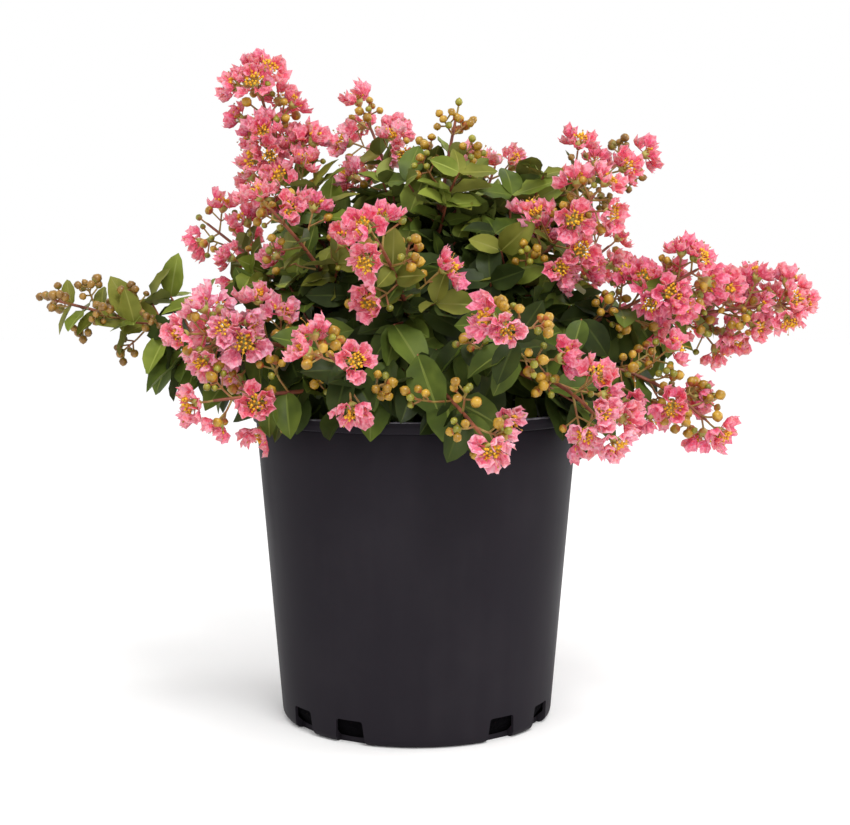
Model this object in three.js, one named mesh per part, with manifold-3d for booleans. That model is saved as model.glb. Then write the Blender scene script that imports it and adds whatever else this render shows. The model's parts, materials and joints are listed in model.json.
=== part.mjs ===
// A young crape myrtle shrub in a round nursery pot, in millimetres, +Z up.
// The origin is the middle of the pot's flat underside. Azimuths are in degrees, seen from above:
// 0 is right (+X), 90 is the back (+Y), 180 is left and 270 is the front.
// The shrub is a short trunk, boughs that leave it, leafy shoots on the boughs, and a panicle of
// blooms and buds on the end of each shoot. Every solid is clear of its neighbours by CLEAR.
import * as THREE from "three";
import { mergeVertices } from "three/addons/utils/BufferGeometryUtils.js";
import Module from "manifold-3d";

const wasm = await Module();
wasm.setup();

// Driving dimensions

const CLEAR = 0.3;

const POT = {
  height: 220,
  baseRadius: 96.5,
  topRadius: 115,
  rimBand: 8,
  rimProud: 1.4,
  rimRound: 1,
  wall: 2.2,
  floor: 2.6,
  corner: 6,
  sides: 36,
};
const SLOT = {
  pairs: 4,
  firstPair: 229.5,
  pairSpread: 26,
  footWidth: 23,
  headWidth: 20,
  height: 17,
  depth: 7,
};
const MIX = { belowRim: 22, shoulder: 4, shoulderWidth: 14 };

const TRUNK = {
  flareRadius: 18,
  waistRadius: 11.5,
  forkRadius: 9.5,
  flareHeight: 10,
  height: 31,
  sides: 12,
};
const BOUGH = { rootReach: 7.2, baseRadius: 3.2, tipRadius: 2.3, sag: 0.1, sides: 7, steps: 4 };
const SHOOT = { baseRadius: 2.2, neckRadius: 1.8, tipRadius: 1.3, sides: 3, lead: 0.55, stepLength: 24 };
const LEAF = { length: 50, widthShare: 0.5, thickness: 1, belly: 0.44, fold: 0.1, droop: 0.1 };
const LEAFY = {
  firstNode: 11,
  nodeSpacing: 16,
  rootReach: 0.5,
  twigLength: 32,
  twigRadius: 1.5,
  twigSpread: 50,
  twigLeafAt: 0.5,
};
const BLOOM = { radius: 19, notchShare: 0.55, ruffle: 3.5, boss: 4, calyx: 9, petals: 6 };
const BUD = { radius: 4.6 };
const PANICLE = {
  nodeSpacing: 21,
  firstStalk: 32,
  lastStalk: 15,
  stalkRadius: 1.3,
  spread: 58,
  spreadJitter: 16,
  turnJitter: 40,
  tipStalk: 7,
  tipSunk: 2,
};

// A bough leaves the trunk at fromTrunk above the mix and ends at a reach and a height. Each of its
// shoots leaves it at the share "at" and ends at its own azimuth, reach and height, pitched above the
// horizon there and turned off its azimuth. "panicle" is the length of the shoot's flowering end, and
// "open" the share of its stalks in bloom. A fused shoot has buds only, in one piece with its leaves.
const BOUGHS = {
  right: {
    limb: { azimuth: 4, reach: 44, height: 252, fromTrunk: 11 },
    shoots: {
      right_mid: { at: 1, azimuth: 349, reach: 196, height: 318, pitch: 30, panicle: 90, open: 0.85 },
      far_right: { at: 0.75, azimuth: 2, reach: 266, height: 294, pitch: 4, panicle: 95, open: 0.75 },
    },
  },
  right_low: {
    limb: { azimuth: 326, reach: 42, height: 241, fromTrunk: 11 },
    shoots: {
      low_right: { at: 1, azimuth: 341, reach: 206, height: 217, pitch: -42, panicle: 85, open: 0.8 },
      low_right_front: { at: 0.8, azimuth: 312, reach: 178, height: 218, pitch: -42, panicle: 62, open: 0.85 },
    },
  },
  right_high: {
    limb: { azimuth: 346, reach: 30, height: 268, fromTrunk: 23 },
    shoots: {
      right_high: { at: 1, azimuth: 339, reach: 129, height: 368, pitch: 50, panicle: 80, open: 0.85 },
      right_top: { at: 0.8, azimuth: 17, reach: 166, height: 400, pitch: 18, panicle: 78, open: 0.6 },
    },
  },
  top_right: {
    limb: { azimuth: 42, reach: 18, height: 276, fromTrunk: 23 },
    shoots: {
      top_spike: { at: 1, azimuth: 0, reach: 28, height: 426, pitch: 78, panicle: 60, fused: true },
      top_right: { at: 0.8, azimuth: 60, reach: 120, height: 399, pitch: 55, panicle: 55, open: 0.5 },
    },
  },
  top_left: {
    limb: { azimuth: 138, reach: 20, height: 276, fromTrunk: 23 },
    shoots: {
      top_centre: { at: 1, azimuth: 117, reach: 88, height: 436, pitch: 60, turn: 30, panicle: 75, open: 0.85 },
      top_left: { at: 0.8, azimuth: 160, reach: 124, height: 455, pitch: 74, panicle: 105, open: 0.8 },
    },
  },
  left: {
    limb: { azimuth: 182, reach: 40, height: 250, fromTrunk: 11 },
    shoots: {
      left_back: { at: 1, azimuth: 150, reach: 187, height: 355, pitch: 32, panicle: 85, open: 0.65 },
      left_high: { at: 0.82, azimuth: 212, reach: 115, height: 358, pitch: 42, panicle: 64, open: 0.85 },
      far_left: { at: 0.6, azimuth: 182, reach: 256, height: 297, pitch: 14, panicle: 95, fused: true },
    },
  },
  left_low: {
    limb: { azimuth: 222, reach: 40, height: 240, fromTrunk: 11 },
    shoots: {
      left_front: { at: 1, azimuth: 218, reach: 176, height: 276, pitch: 4, panicle: 78, open: 0.9 },
      low_left: { at: 0.8, azimuth: 223, reach: 176, height: 234, pitch: -6, turn: -24, panicle: 78, open: 0.5 },
    },
  },
  front: {
    limb: { azimuth: 262, reach: 28, height: 256, fromTrunk: 23 },
    shoots: {
      centre_left: { at: 1, azimuth: 260, reach: 142, height: 336, pitch: 32, turn: -12, panicle: 76, open: 0.5 },
      front_left: { at: 0.75, azimuth: 254, reach: 186, height: 266, pitch: 22, panicle: 70, open: 0.45 },
    },
  },
  front_low: {
    limb: { azimuth: 286, reach: 42, height: 240, fromTrunk: 11 },
    shoots: {
      front_right: { at: 1, azimuth: 290, reach: 182, height: 288, pitch: 30, turn: -24, panicle: 70, open: 0.5 },
      front_low: { at: 0.8, azimuth: 283, reach: 182, height: 216, pitch: -26, turn: 12, panicle: 62, open: 0.5 },
    },
  },
  rear_left: {
    limb: { azimuth: 122, reach: 42, height: 248, fromTrunk: 11 },
    shoots: {
      rear_left: { at: 1, azimuth: 112, reach: 176, height: 346, pitch: 36, panicle: 80, open: 0.75 },
      low_rear_left: { at: 0.8, azimuth: 140, reach: 204, height: 250, pitch: -8, panicle: 80, open: 0.7 },
    },
  },
  rear_right: {
    limb: { azimuth: 54, reach: 42, height: 248, fromTrunk: 11 },
    shoots: {
      rear_right: { at: 1, azimuth: 35, reach: 182, height: 338, pitch: 32, panicle: 80, open: 0.75 },
      low_rear_right: { at: 0.8, azimuth: 74, reach: 204, height: 250, pitch: -8, panicle: 80, open: 0.7 },
    },
  },
};

// Worked-out sizes

const MIX_TOP = POT.height - MIX.belowRim;
const TRUNK_FOOT = MIX_TOP + CLEAR;
const TURN = THREE.MathUtils.degToRad(1);
const UP = new THREE.Vector3(0, 0, 1);

const MATERIALS = {
  pot: new THREE.MeshStandardMaterial({ color: 0x2f2d32, roughness: 0.55 }),
  mix: new THREE.MeshStandardMaterial({ color: 0x3a2a1e, roughness: 1 }),
  bark: new THREE.MeshStandardMaterial({ color: 0x7a4630, roughness: 0.8 }),
  foliage: new THREE.MeshStandardMaterial({ color: 0x57752f, roughness: 0.5 }),
  blossom: new THREE.MeshStandardMaterial({ color: 0xe9709a, roughness: 0.7 }),
};

// Solids and meshes

function toSolid(geometry) {
  const bare = geometry.clone();
  bare.deleteAttribute("normal");
  bare.deleteAttribute("uv");
  const merged = mergeVertices(bare, 1e-4);
  return new wasm.Manifold(
    new wasm.Mesh({
      numProp: 3,
      vertProperties: merged.attributes.position.array,
      triVerts: new Uint32Array(merged.index.array),
    }),
  );
}

function toGeometry(solid) {
  const { vertProperties, triVerts } = solid.getMesh();
  const geometry = new THREE.BufferGeometry();
  geometry.setAttribute("position", new THREE.BufferAttribute(vertProperties, 3));
  geometry.setIndex(new THREE.BufferAttribute(triVerts, 1));
  geometry.computeVertexNormals();
  return geometry;
}

// Joins solids into one body: a hollow that joining seals is filled and a loose scrap is dropped.
function fuse(solids) {
  const joined = solids.reduce((whole, solid) => whole.add(solid));
  const bodies = joined.decompose().filter((body) => body.volume() > 0);
  return bodies.reduce((largest, body) => (body.volume() > largest.volume() ? body : largest));
}

function meshOf(name, geometry, material) {
  const mesh = new THREE.Mesh(geometry, material);
  mesh.name = name;
  return mesh;
}

function facets(points, triangles) {
  const geometry = new THREE.BufferGeometry();
  const numbers = points.flatMap((point) => point.toArray());
  geometry.setAttribute("position", new THREE.Float32BufferAttribute(numbers, 3));
  geometry.setIndex(triangles.flat());
  return geometry;
}

// A solid of revolution about Z from [radius, height] pairs, listed anticlockwise.
function turned(profile, sides) {
  const points = profile.map(([radius, height]) => new THREE.Vector2(radius, height));
  return new THREE.LatheGeometry(points, sides).rotateX(Math.PI / 2);
}

// Seeded numbers from 0 to 1, the same in every run.
function seeded(seed) {
  let state = 7919 * (seed + 1);
  return () => {
    state = (state * 16807) % 2147483647;
    return state / 2147483647;
  };
}

// Places and directions

function place(azimuth, reach, height) {
  return new THREE.Vector3(reach * Math.cos(azimuth * TURN), reach * Math.sin(azimuth * TURN), height);
}

function heading(azimuth, pitch) {
  return place(azimuth, Math.cos(pitch * TURN), Math.sin(pitch * TURN));
}

// Two directions square to a limb's run: "side" lies across the limb's own upright plane.
function crossFrame(tangent, sideHint) {
  const side = sideHint.clone().addScaledVector(tangent, -sideHint.dot(tangent)).normalize();
  return { side, over: new THREE.Vector3().crossVectors(tangent, side) };
}

function sideOf(curve) {
  const run = curve.getPoint(1).sub(curve.getPoint(0));
  return new THREE.Vector3().crossVectors(UP, run).normalize();
}

// A direction that leaves a tangent by an angle, turned round it.
function splay(tangent, frame, angle, turn) {
  return tangent
    .clone()
    .multiplyScalar(Math.cos(angle * TURN))
    .addScaledVector(frame.side, Math.sin(angle * TURN) * Math.cos(turn * TURN))
    .addScaledVector(frame.over, Math.sin(angle * TURN) * Math.sin(turn * TURN));
}

// Turns a shape made along +X, with +Z as its upper face, to lie along a direction.
function laid(geometry, origin, direction, upHint) {
  const across = new THREE.Vector3().crossVectors(upHint, direction).normalize();
  const above = new THREE.Vector3().crossVectors(direction, across);
  return geometry.applyMatrix4(new THREE.Matrix4().makeBasis(direction, across, above).setPosition(origin));
}

// Limbs: a closed tube that tapers along a stretch of a curve, given in shares of its length.

function limb(curve, from, to, radiusFrom, radiusTo, sides, steps) {
  const sideHint = sideOf(curve);
  const points = [];
  const triangles = [];
  for (let step = 0; step <= steps; step++) {
    const share = from + ((to - from) * step) / steps;
    const centre = curve.getPointAt(share);
    const frame = crossFrame(curve.getTangentAt(share), sideHint);
    const radius = radiusFrom + ((radiusTo - radiusFrom) * step) / steps;
    for (let corner = 0; corner < sides; corner++) {
      const angle = (2 * Math.PI * corner) / sides;
      points.push(
        centre
          .clone()
          .addScaledVector(frame.side, radius * Math.cos(angle))
          .addScaledVector(frame.over, radius * Math.sin(angle)),
      );
    }
  }
  for (let step = 0; step < steps; step++) {
    for (let corner = 0; corner < sides; corner++) {
      const a = step * sides + corner;
      const b = step * sides + ((corner + 1) % sides);
      triangles.push([a, b, a + sides], [b, b + sides, a + sides]);
    }
  }
  const last = steps * sides;
  for (let corner = 1; corner < sides - 1; corner++) {
    triangles.push([0, corner + 1, corner], [last, last + corner, last + corner + 1]);
  }
  return facets(points, triangles);
}

function straightTwig(start, end, radiusFrom, radiusTo) {
  return limb(new THREE.LineCurve3(start, end), 0, 1, radiusFrom, radiusTo, 3, 1);
}

// Leaf, bloom and bud shapes, each made along +X from its root

// An elliptic blade folded up along its midrib, with a root as thick as the blade.
function leafShape(scale) {
  const length = LEAF.length * scale;
  const half = (length * LEAF.widthShare) / 2;
  const thick = LEAF.thickness / 2;
  const belly = length * LEAF.belly;
  const rootTop = new THREE.Vector3(0, 0, thick);
  const rootUnder = new THREE.Vector3(0, 0, -thick);
  const left = new THREE.Vector3(belly, half, 2 * half * LEAF.fold);
  const right = new THREE.Vector3(belly, -half, 2 * half * LEAF.fold);
  const tip = new THREE.Vector3(length, 0, -length * LEAF.droop);
  const ribTop = new THREE.Vector3(belly, 0, thick);
  const ribUnder = new THREE.Vector3(belly, 0, -thick);
  return facets(
    [rootTop, rootUnder, left, right, tip, ribTop, ribUnder],
    [
      [0, 5, 2],
      [0, 3, 5],
      [2, 5, 4],
      [5, 3, 4],
      [1, 2, 6],
      [1, 6, 3],
      [2, 4, 6],
      [6, 4, 3],
      [0, 2, 1],
      [0, 1, 3],
    ],
  );
}

// Corners of a ring about the X axis; "shape" gives each corner its [x, radius].
function ring(count, shape) {
  return Array.from({ length: count }, (_, corner) => {
    const angle = (2 * Math.PI * corner) / count;
    const [x, radius] = shape(corner);
    return new THREE.Vector3(x, radius * Math.cos(angle), radius * Math.sin(angle));
  });
}

// Skins rings from a flat root to an end point. Each ring has as many corners as the one before it,
// or a whole number of times as many.
function skinned(rings, end) {
  const triangles = [];
  let first = 0;
  for (let corner = 1; corner < rings[0].length - 1; corner++) triangles.push([0, corner + 1, corner]);
  rings.slice(1).forEach((upper, index) => {
    const lower = rings[index];
    const next = first + lower.length;
    const ratio = upper.length / lower.length;
    const below = (corner) => first + (Math.floor((corner + ratio / 2) / ratio) % lower.length);
    for (let corner = 0; corner < upper.length; corner++) {
      const here = next + corner;
      const after = next + ((corner + 1) % upper.length);
      triangles.push([below(corner), after, here]);
      if (below(corner) !== below(corner + 1)) triangles.push([below(corner), below(corner + 1), after]);
    }
    first = next;
  });
  const last = rings.at(-1).length;
  for (let corner = 0; corner < last; corner++) {
    triangles.push([first + corner, first + ((corner + 1) % last), first + last]);
  }
  return facets([...rings.flat(), end], triangles);
}

// A ruffled six-petalled bloom on the end of a stalk: calyx, lobed rim and a boss of stamens.
function bloomShape(stalk, scale) {
  const rim = ring(2 * BLOOM.petals, (corner) => {
    const isPetal = corner % 2 === 0;
    const ruffle = isPetal ? BLOOM.ruffle * (corner % 4 === 0 ? 1 : -0.6) : 0;
    const radius = BLOOM.radius * (isPetal ? 1 : BLOOM.notchShare);
    return [stalk + (BLOOM.calyx + ruffle) * scale, radius * scale];
  });
  const centre = new THREE.Vector3(stalk + (BLOOM.calyx + BLOOM.boss) * scale, 0, 0);
  return { head: [stalkRing(stalk), rim], end: centre };
}

function budShape(stalk) {
  const waist = ring(6, () => [stalk + BUD.radius, BUD.radius]);
  return { head: [stalkRing(stalk), waist], end: new THREE.Vector3(stalk + 2 * BUD.radius, 0, 0) };
}

function stalkRing(x) {
  return ring(3, () => [x, PANICLE.stalkRadius]);
}

// Each mass keeps to its own space: the places that are nearer to its axis than to any other axis.

class Axis {
  constructor(curve, from, to) {
    this.curve = curve;
    this.from = from;
    this.to = to;
    this.length = curve.getLength() * (to - from);
    const pieces = Math.max(3, Math.round(this.length / SHOOT.stepLength));
    this.knots = [];
    for (let knot = 0; knot <= pieces; knot++) {
      this.knots.push(curve.getPointAt(from + ((to - from) * knot) / pieces));
    }
    this.steps = pieces;
  }

  share(distance) {
    return this.from + ((this.to - this.from) * distance) / this.length;
  }

  distanceTo(point) {
    const nearest = new THREE.Vector3();
    let least = Infinity;
    for (let knot = 0; knot < this.knots.length - 1; knot++) {
      new THREE.Line3(this.knots[knot], this.knots[knot + 1]).closestPointToPoint(point, true, nearest);
      least = Math.min(least, nearest.distanceTo(point));
    }
    return least;
  }
}

const SPACE_MARGIN = 1.6;

function keepsToSpace(geometry, own, axes) {
  const position = geometry.getAttribute("position");
  const corners = [];
  for (let i = 0; i < position.count; i++) corners.push(new THREE.Vector3().fromBufferAttribute(position, i));
  const middles = corners.map((corner, i) => corner.clone().lerp(corners[(i + 1) % corners.length], 0.5));
  return [...corners, ...middles].every((point) => {
    const reach = own.distanceTo(point) + SPACE_MARGIN;
    return axes.every((other) => other === own || reach < other.distanceTo(point));
  });
}

// Pot

function potRadius(height) {
  return POT.baseRadius + ((POT.topRadius - POT.baseRadius) * height) / POT.height;
}

function drainSlot(azimuth) {
  const outline = new THREE.Shape([
    new THREE.Vector2(-SLOT.footWidth / 2, -1),
    new THREE.Vector2(SLOT.footWidth / 2, -1),
    new THREE.Vector2(SLOT.headWidth / 2, SLOT.height),
    new THREE.Vector2(-SLOT.headWidth / 2, SLOT.height),
  ]);
  const cut = new THREE.ExtrudeGeometry(outline, { depth: 2 * SLOT.depth, bevelEnabled: false });
  cut.rotateX(Math.PI / 2).translate(0, POT.baseRadius + SLOT.depth, 0);
  return toSolid(cut.rotateZ((azimuth - 90) * TURN));
}

function makePot() {
  const bandFoot = POT.height - POT.rimBand;
  const rim = POT.topRadius + POT.rimProud;
  const inside = (height) => potRadius(height) - POT.wall;
  const cornerPoint = (angle) => [
    potRadius(POT.corner) - POT.corner * (1 - Math.sin(angle * TURN)),
    POT.corner * (1 - Math.cos(angle * TURN)),
  ];
  const profile = [
    [0, 0],
    cornerPoint(0),
    cornerPoint(35),
    cornerPoint(65),
    cornerPoint(90),
    [potRadius(bandFoot), bandFoot],
    [rim, bandFoot + POT.rimProud],
    [rim, POT.height - POT.rimRound],
    [rim - POT.rimRound, POT.height],
    [inside(POT.height) + POT.rimRound, POT.height],
    [inside(POT.height), POT.height - POT.rimRound],
    [inside(POT.floor + POT.corner), POT.floor + POT.corner],
    [inside(POT.floor) - POT.corner, POT.floor],
    [0, POT.floor],
  ];
  let shell = toSolid(turned(profile, POT.sides));
  for (let pair = 0; pair < SLOT.pairs; pair++) {
    const middle = SLOT.firstPair + (360 * pair) / SLOT.pairs;
    for (const half of [-0.5, 0.5]) shell = shell.subtract(drainSlot(middle + half * SLOT.pairSpread));
  }
  return meshOf("pot", toGeometry(shell), MATERIALS.pot);
}

function makeMix() {
  const inside = (height) => potRadius(height) - POT.wall - 1.5 * CLEAR;
  const foot = POT.floor + CLEAR;
  const profile = [
    [0, foot],
    [inside(POT.floor) - POT.corner, foot],
    [inside(POT.floor + POT.corner), foot + POT.corner],
    [inside(MIX_TOP - MIX.shoulder), MIX_TOP - MIX.shoulder],
    [inside(MIX_TOP) - MIX.shoulderWidth, MIX_TOP],
    [0, MIX_TOP],
  ];
  return meshOf("growing_mix", turned(profile, POT.sides), MATERIALS.mix);
}

// Trunk and boughs

function trunkShape(grown) {
  const at = (height) => TRUNK_FOOT + height;
  return turned(
    [
      [0, at(-grown)],
      [TRUNK.flareRadius + grown, at(-grown)],
      [TRUNK.flareRadius - 3 + grown, at(3)],
      [TRUNK.waistRadius + grown, at(TRUNK.flareHeight)],
      [TRUNK.forkRadius + grown, at(TRUNK.height - 4)],
      [TRUNK.forkRadius * 0.8 + grown, at(TRUNK.height + grown)],
      [0, at(TRUNK.height + 1 + grown)],
    ],
    TRUNK.sides,
  );
}

function boughCurve({ azimuth, reach, height, fromTrunk }) {
  const start = place(azimuth, BOUGH.rootReach, TRUNK_FOOT + fromTrunk);
  const tip = place(azimuth, reach, height);
  const bend = start.clone().lerp(tip, 0.5);
  bend.z -= BOUGH.sag * (tip.z - start.z);
  return new THREE.QuadraticBezierCurve3(start, bend, tip);
}

function boughShape(curve, grown) {
  return limb(curve, 0, 1, BOUGH.baseRadius + grown, BOUGH.tipRadius + grown, BOUGH.sides, BOUGH.steps);
}

// Shoots: each runs from its bough to its tip, leafy at first and flowering at the end.

function shootCurve(size, boughCurve) {
  const start = boughCurve.getPointAt(size.at);
  const tip = place(size.azimuth, size.reach, size.height);
  const arrival = heading(size.azimuth + (size.turn ?? 0), size.pitch);
  const lead = SHOOT.lead * start.distanceTo(tip);
  return new THREE.QuadraticBezierCurve3(start, tip.clone().addScaledVector(arrival, -lead), tip);
}

class Shoot {
  constructor(name, size, boughCurve, grownBough, index) {
    const curve = shootCurve(size, boughCurve);
    const gap = CLEAR / curve.getLength();
    const start = size.at === 1 ? gap : 0;
    const neck = 1 - size.panicle / curve.getLength();
    this.name = name;
    this.size = size;
    this.grownBough = grownBough;
    this.leafy = new Axis(curve, start, neck);
    this.flowering = new Axis(curve, neck + gap, 1);
    this.axes = size.fused ? [new Axis(curve, start, 1)] : [this.leafy, this.flowering];
    this.sideHint = sideOf(curve);
    this.random = seeded(index);
  }

  // A leafy mass, and a panicle as a mass of its own unless the shoot is fused.
  makeMasses(world) {
    const { size, sideHint, random } = this;
    const [foliage, panicle] = this.axes.map((axis) => ({ axis, solids: [], taken: [] }));
    stalksAlong(this.flowering, panicle ?? foliage, sideHint, size.open ?? 0, random, world);
    leavesAlong(this.leafy, foliage, sideHint, random, world);
    const stemTip = size.fused ? SHOOT.tipRadius : SHOOT.neckRadius;
    const stem = toSolid(axisShape(foliage.axis, SHOOT.baseRadius, stemTip)).subtract(this.grownBough);
    const leafy = fuse([stem, ...foliage.solids]);
    const masses = [meshOf(`foliage_${this.name}`, toGeometry(leafy), MATERIALS.foliage)];
    if (panicle) {
      const stemEnd = toSolid(axisShape(panicle.axis, SHOOT.neckRadius, SHOOT.tipRadius));
      const blossom = fuse([stemEnd, ...panicle.solids]);
      masses.push(meshOf(`panicle_${this.name}`, toGeometry(blossom), MATERIALS.blossom));
    }
    return masses;
  }
}

function axisShape(axis, radiusFrom, radiusTo) {
  return limb(axis.curve, axis.from, axis.to, radiusFrom, radiusTo, SHOOT.sides, axis.steps);
}

// Adds a solid to a mass. What comes later keeps clear of "shown", the part of it that stands free.
function hold(mass, solid, shown = solid) {
  mass.solids.push(solid);
  mass.taken.push(shown);
}

// The first try that keeps to the mass's space, clear of the limbs, the pot and what the mass holds.
function firstFit(tries, mass, world) {
  for (const geometry of tries) {
    if (!keepsToSpace(geometry, mass.axis, world.axes)) continue;
    const solid = toSolid(geometry);
    const isFree = [world.limbs, ...mass.taken].every((other) => solid.intersect(other).isEmpty());
    if (isFree) return solid;
  }
  return null;
}

const LEAF_SPREADS = [62, 44, 80];
const LEAF_TURNS = [0, 28, -28, 56, -56];

function* leafTries(origin, tangent, frame, turn, scale) {
  for (const spread of LEAF_SPREADS) {
    for (const offset of LEAF_TURNS) {
      const direction = splay(tangent, frame, spread, turn + offset);
      const root = origin.clone().addScaledVector(direction, LEAFY.rootReach);
      yield laid(leafShape(scale), root, direction, UP);
    }
  }
  yield* scale > 0.75 ? leafTries(origin, tangent, frame, turn, scale * 0.8) : [];
}

// Pairs of leaves and side twigs, in turn, along the leafy stretch of a shoot.
function leavesAlong(stretch, mass, sideHint, random, world) {
  for (let node = 0; LEAFY.firstNode + node * LEAFY.nodeSpacing < stretch.length; node++) {
    const share = stretch.share(LEAFY.firstNode + node * LEAFY.nodeSpacing);
    const origin = stretch.curve.getPointAt(share);
    const tangent = stretch.curve.getTangentAt(share);
    const frame = crossFrame(tangent, sideHint);
    const turn = node * 90 + 50 * (random() - 0.5);
    const scale = 0.82 + 0.3 * random();
    for (const half of [0, 180]) {
      const leaf = firstFit(leafTries(origin, tangent, frame, turn + half, scale), mass, world);
      if (leaf) hold(mass, leaf);
    }
    if (node % 2 === 1) sideTwig(mass, origin, tangent, frame, turn + 90, scale, world);
  }
}

// A short twig with a leaf on each side and one at its end, or nothing where it has no room.
function sideTwig(mass, origin, tangent, frame, turn, scale, world) {
  const direction = splay(tangent, frame, LEAFY.twigSpread, turn);
  const end = origin.clone().addScaledVector(direction, LEAFY.twigLength * scale);
  const twig = firstFit([straightTwig(origin, end, LEAFY.twigRadius, LEAFY.twigRadius * 0.6)], mass, world);
  if (!twig) return;
  const twigFrame = crossFrame(direction, new THREE.Vector3().crossVectors(UP, direction));
  const middle = origin.clone().lerp(end, LEAFY.twigLeafAt);
  const root = origin.clone().lerp(end, 0.93);
  const leaves = [
    firstFit(leafTries(middle, direction, twigFrame, 0, scale * 0.85), mass, world),
    firstFit(leafTries(middle, direction, twigFrame, 180, scale * 0.85), mass, world),
    firstFit([laid(leafShape(scale * 0.9), root, direction, UP)], mass, world),
  ].filter(Boolean);
  if (leaves.length) [twig, ...leaves].forEach((solid) => hold(mass, solid));
}

// Opposite pairs of stalks, shorter towards the tip, each with a bloom or a bud on its end.
function stalksAlong(stretch, mass, sideHint, open, random, world) {
  const count = Math.max(2, Math.round(stretch.length / PANICLE.nodeSpacing));
  for (let node = 0; node < count; node++) {
    const share = stretch.share((stretch.length * (node + 0.35)) / count);
    const origin = stretch.curve.getPointAt(share);
    const tangent = stretch.curve.getTangentAt(share);
    const frame = crossFrame(tangent, sideHint);
    const along = node / (count - 1);
    const length = PANICLE.firstStalk + (PANICLE.lastStalk - PANICLE.firstStalk) * along;
    const turn = node * 90 + PANICLE.turnJitter * (random() - 0.5);
    for (const half of [0, 180]) {
      const spread = PANICLE.spread + PANICLE.spreadJitter * (random() - 0.5);
      const direction = splay(tangent, frame, spread, turn + half);
      const isOpen = random() < open;
      stalk(mass, origin, direction, length, isOpen, world);
    }
  }
  const tip = stretch.curve.getPointAt(stretch.share(stretch.length - PANICLE.tipSunk));
  const tipTangent = stretch.curve.getTangentAt(stretch.to);
  stalk(mass, tip, tipTangent, PANICLE.tipStalk, random() < open, world);
}

const STALK_SHARES = [1, 0.75, 0.55];

function stalk(mass, origin, direction, length, isOpen, world) {
  for (const share of STALK_SHARES) {
    const reach = length * share;
    const { head, end } = isOpen ? bloomShape(reach, 0.85 + 0.15 * share) : budShape(reach);
    const shown = firstFit([laid(skinned(head, end), origin, direction, UP)], mass, world);
    const whole = laid(skinned([stalkRing(0), ...head], end), origin, direction, UP);
    if (!shown || !keepsToSpace(whole, mass.axis, world.axes)) continue;
    hold(mass, toSolid(whole), shown);
    return;
  }
}

// Assembly

function makeShrub() {
  const group = new THREE.Group();
  const grownTrunk = toSolid(trunkShape(CLEAR));
  group.add(meshOf("trunk", trunkShape(0), MATERIALS.bark));
  let limbs = grownTrunk.add(toSolid(turned(potEnvelope(), POT.sides)));
  const shoots = [];
  for (const [name, bough] of Object.entries(BOUGHS)) {
    const curve = boughCurve(bough.limb);
    const grown = toSolid(boughShape(curve, CLEAR));
    const solid = fuse([toSolid(boughShape(curve, 0)).subtract(grownTrunk)]);
    group.add(meshOf(`bough_${name}`, toGeometry(solid), MATERIALS.bark));
    limbs = limbs.add(grown);
    for (const [shootName, size] of Object.entries(bough.shoots)) {
      shoots.push(new Shoot(shootName, size, curve, grown, shoots.length));
    }
  }
  const world = { limbs, axes: shoots.flatMap((shoot) => shoot.axes) };
  for (const shoot of shoots) group.add(...shoot.makeMasses(world));
  return group;
}

function potEnvelope() {
  const proud = POT.rimProud + 2 * CLEAR;
  return [
    [0, -CLEAR],
    [POT.baseRadius + proud, -CLEAR],
    [POT.topRadius + proud, POT.height + 2 * CLEAR],
    [0, POT.height + 2 * CLEAR],
  ];
}

const shrub = new THREE.Group();
shrub.add(makePot(), makeMix(), makeShrub());

export default shrub;
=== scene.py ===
# %% [markdown]
# # A crape myrtle in a nursery pot
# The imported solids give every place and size: a pot, a short trunk, eleven boughs and the leafy
# shoots and panicles that grow from them. This lesson keeps that frame and dresses it: a smooth
# moulded pot, bark chips, bark with relief, leaves, crinkled blooms with stamens, and round buds.
# Sizes are written in millimetres, as on a drawing, and turned to metres when a mesh is made.

import json
import math

import bpy
import numpy as np
from mathutils import Matrix, Vector, noise

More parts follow.
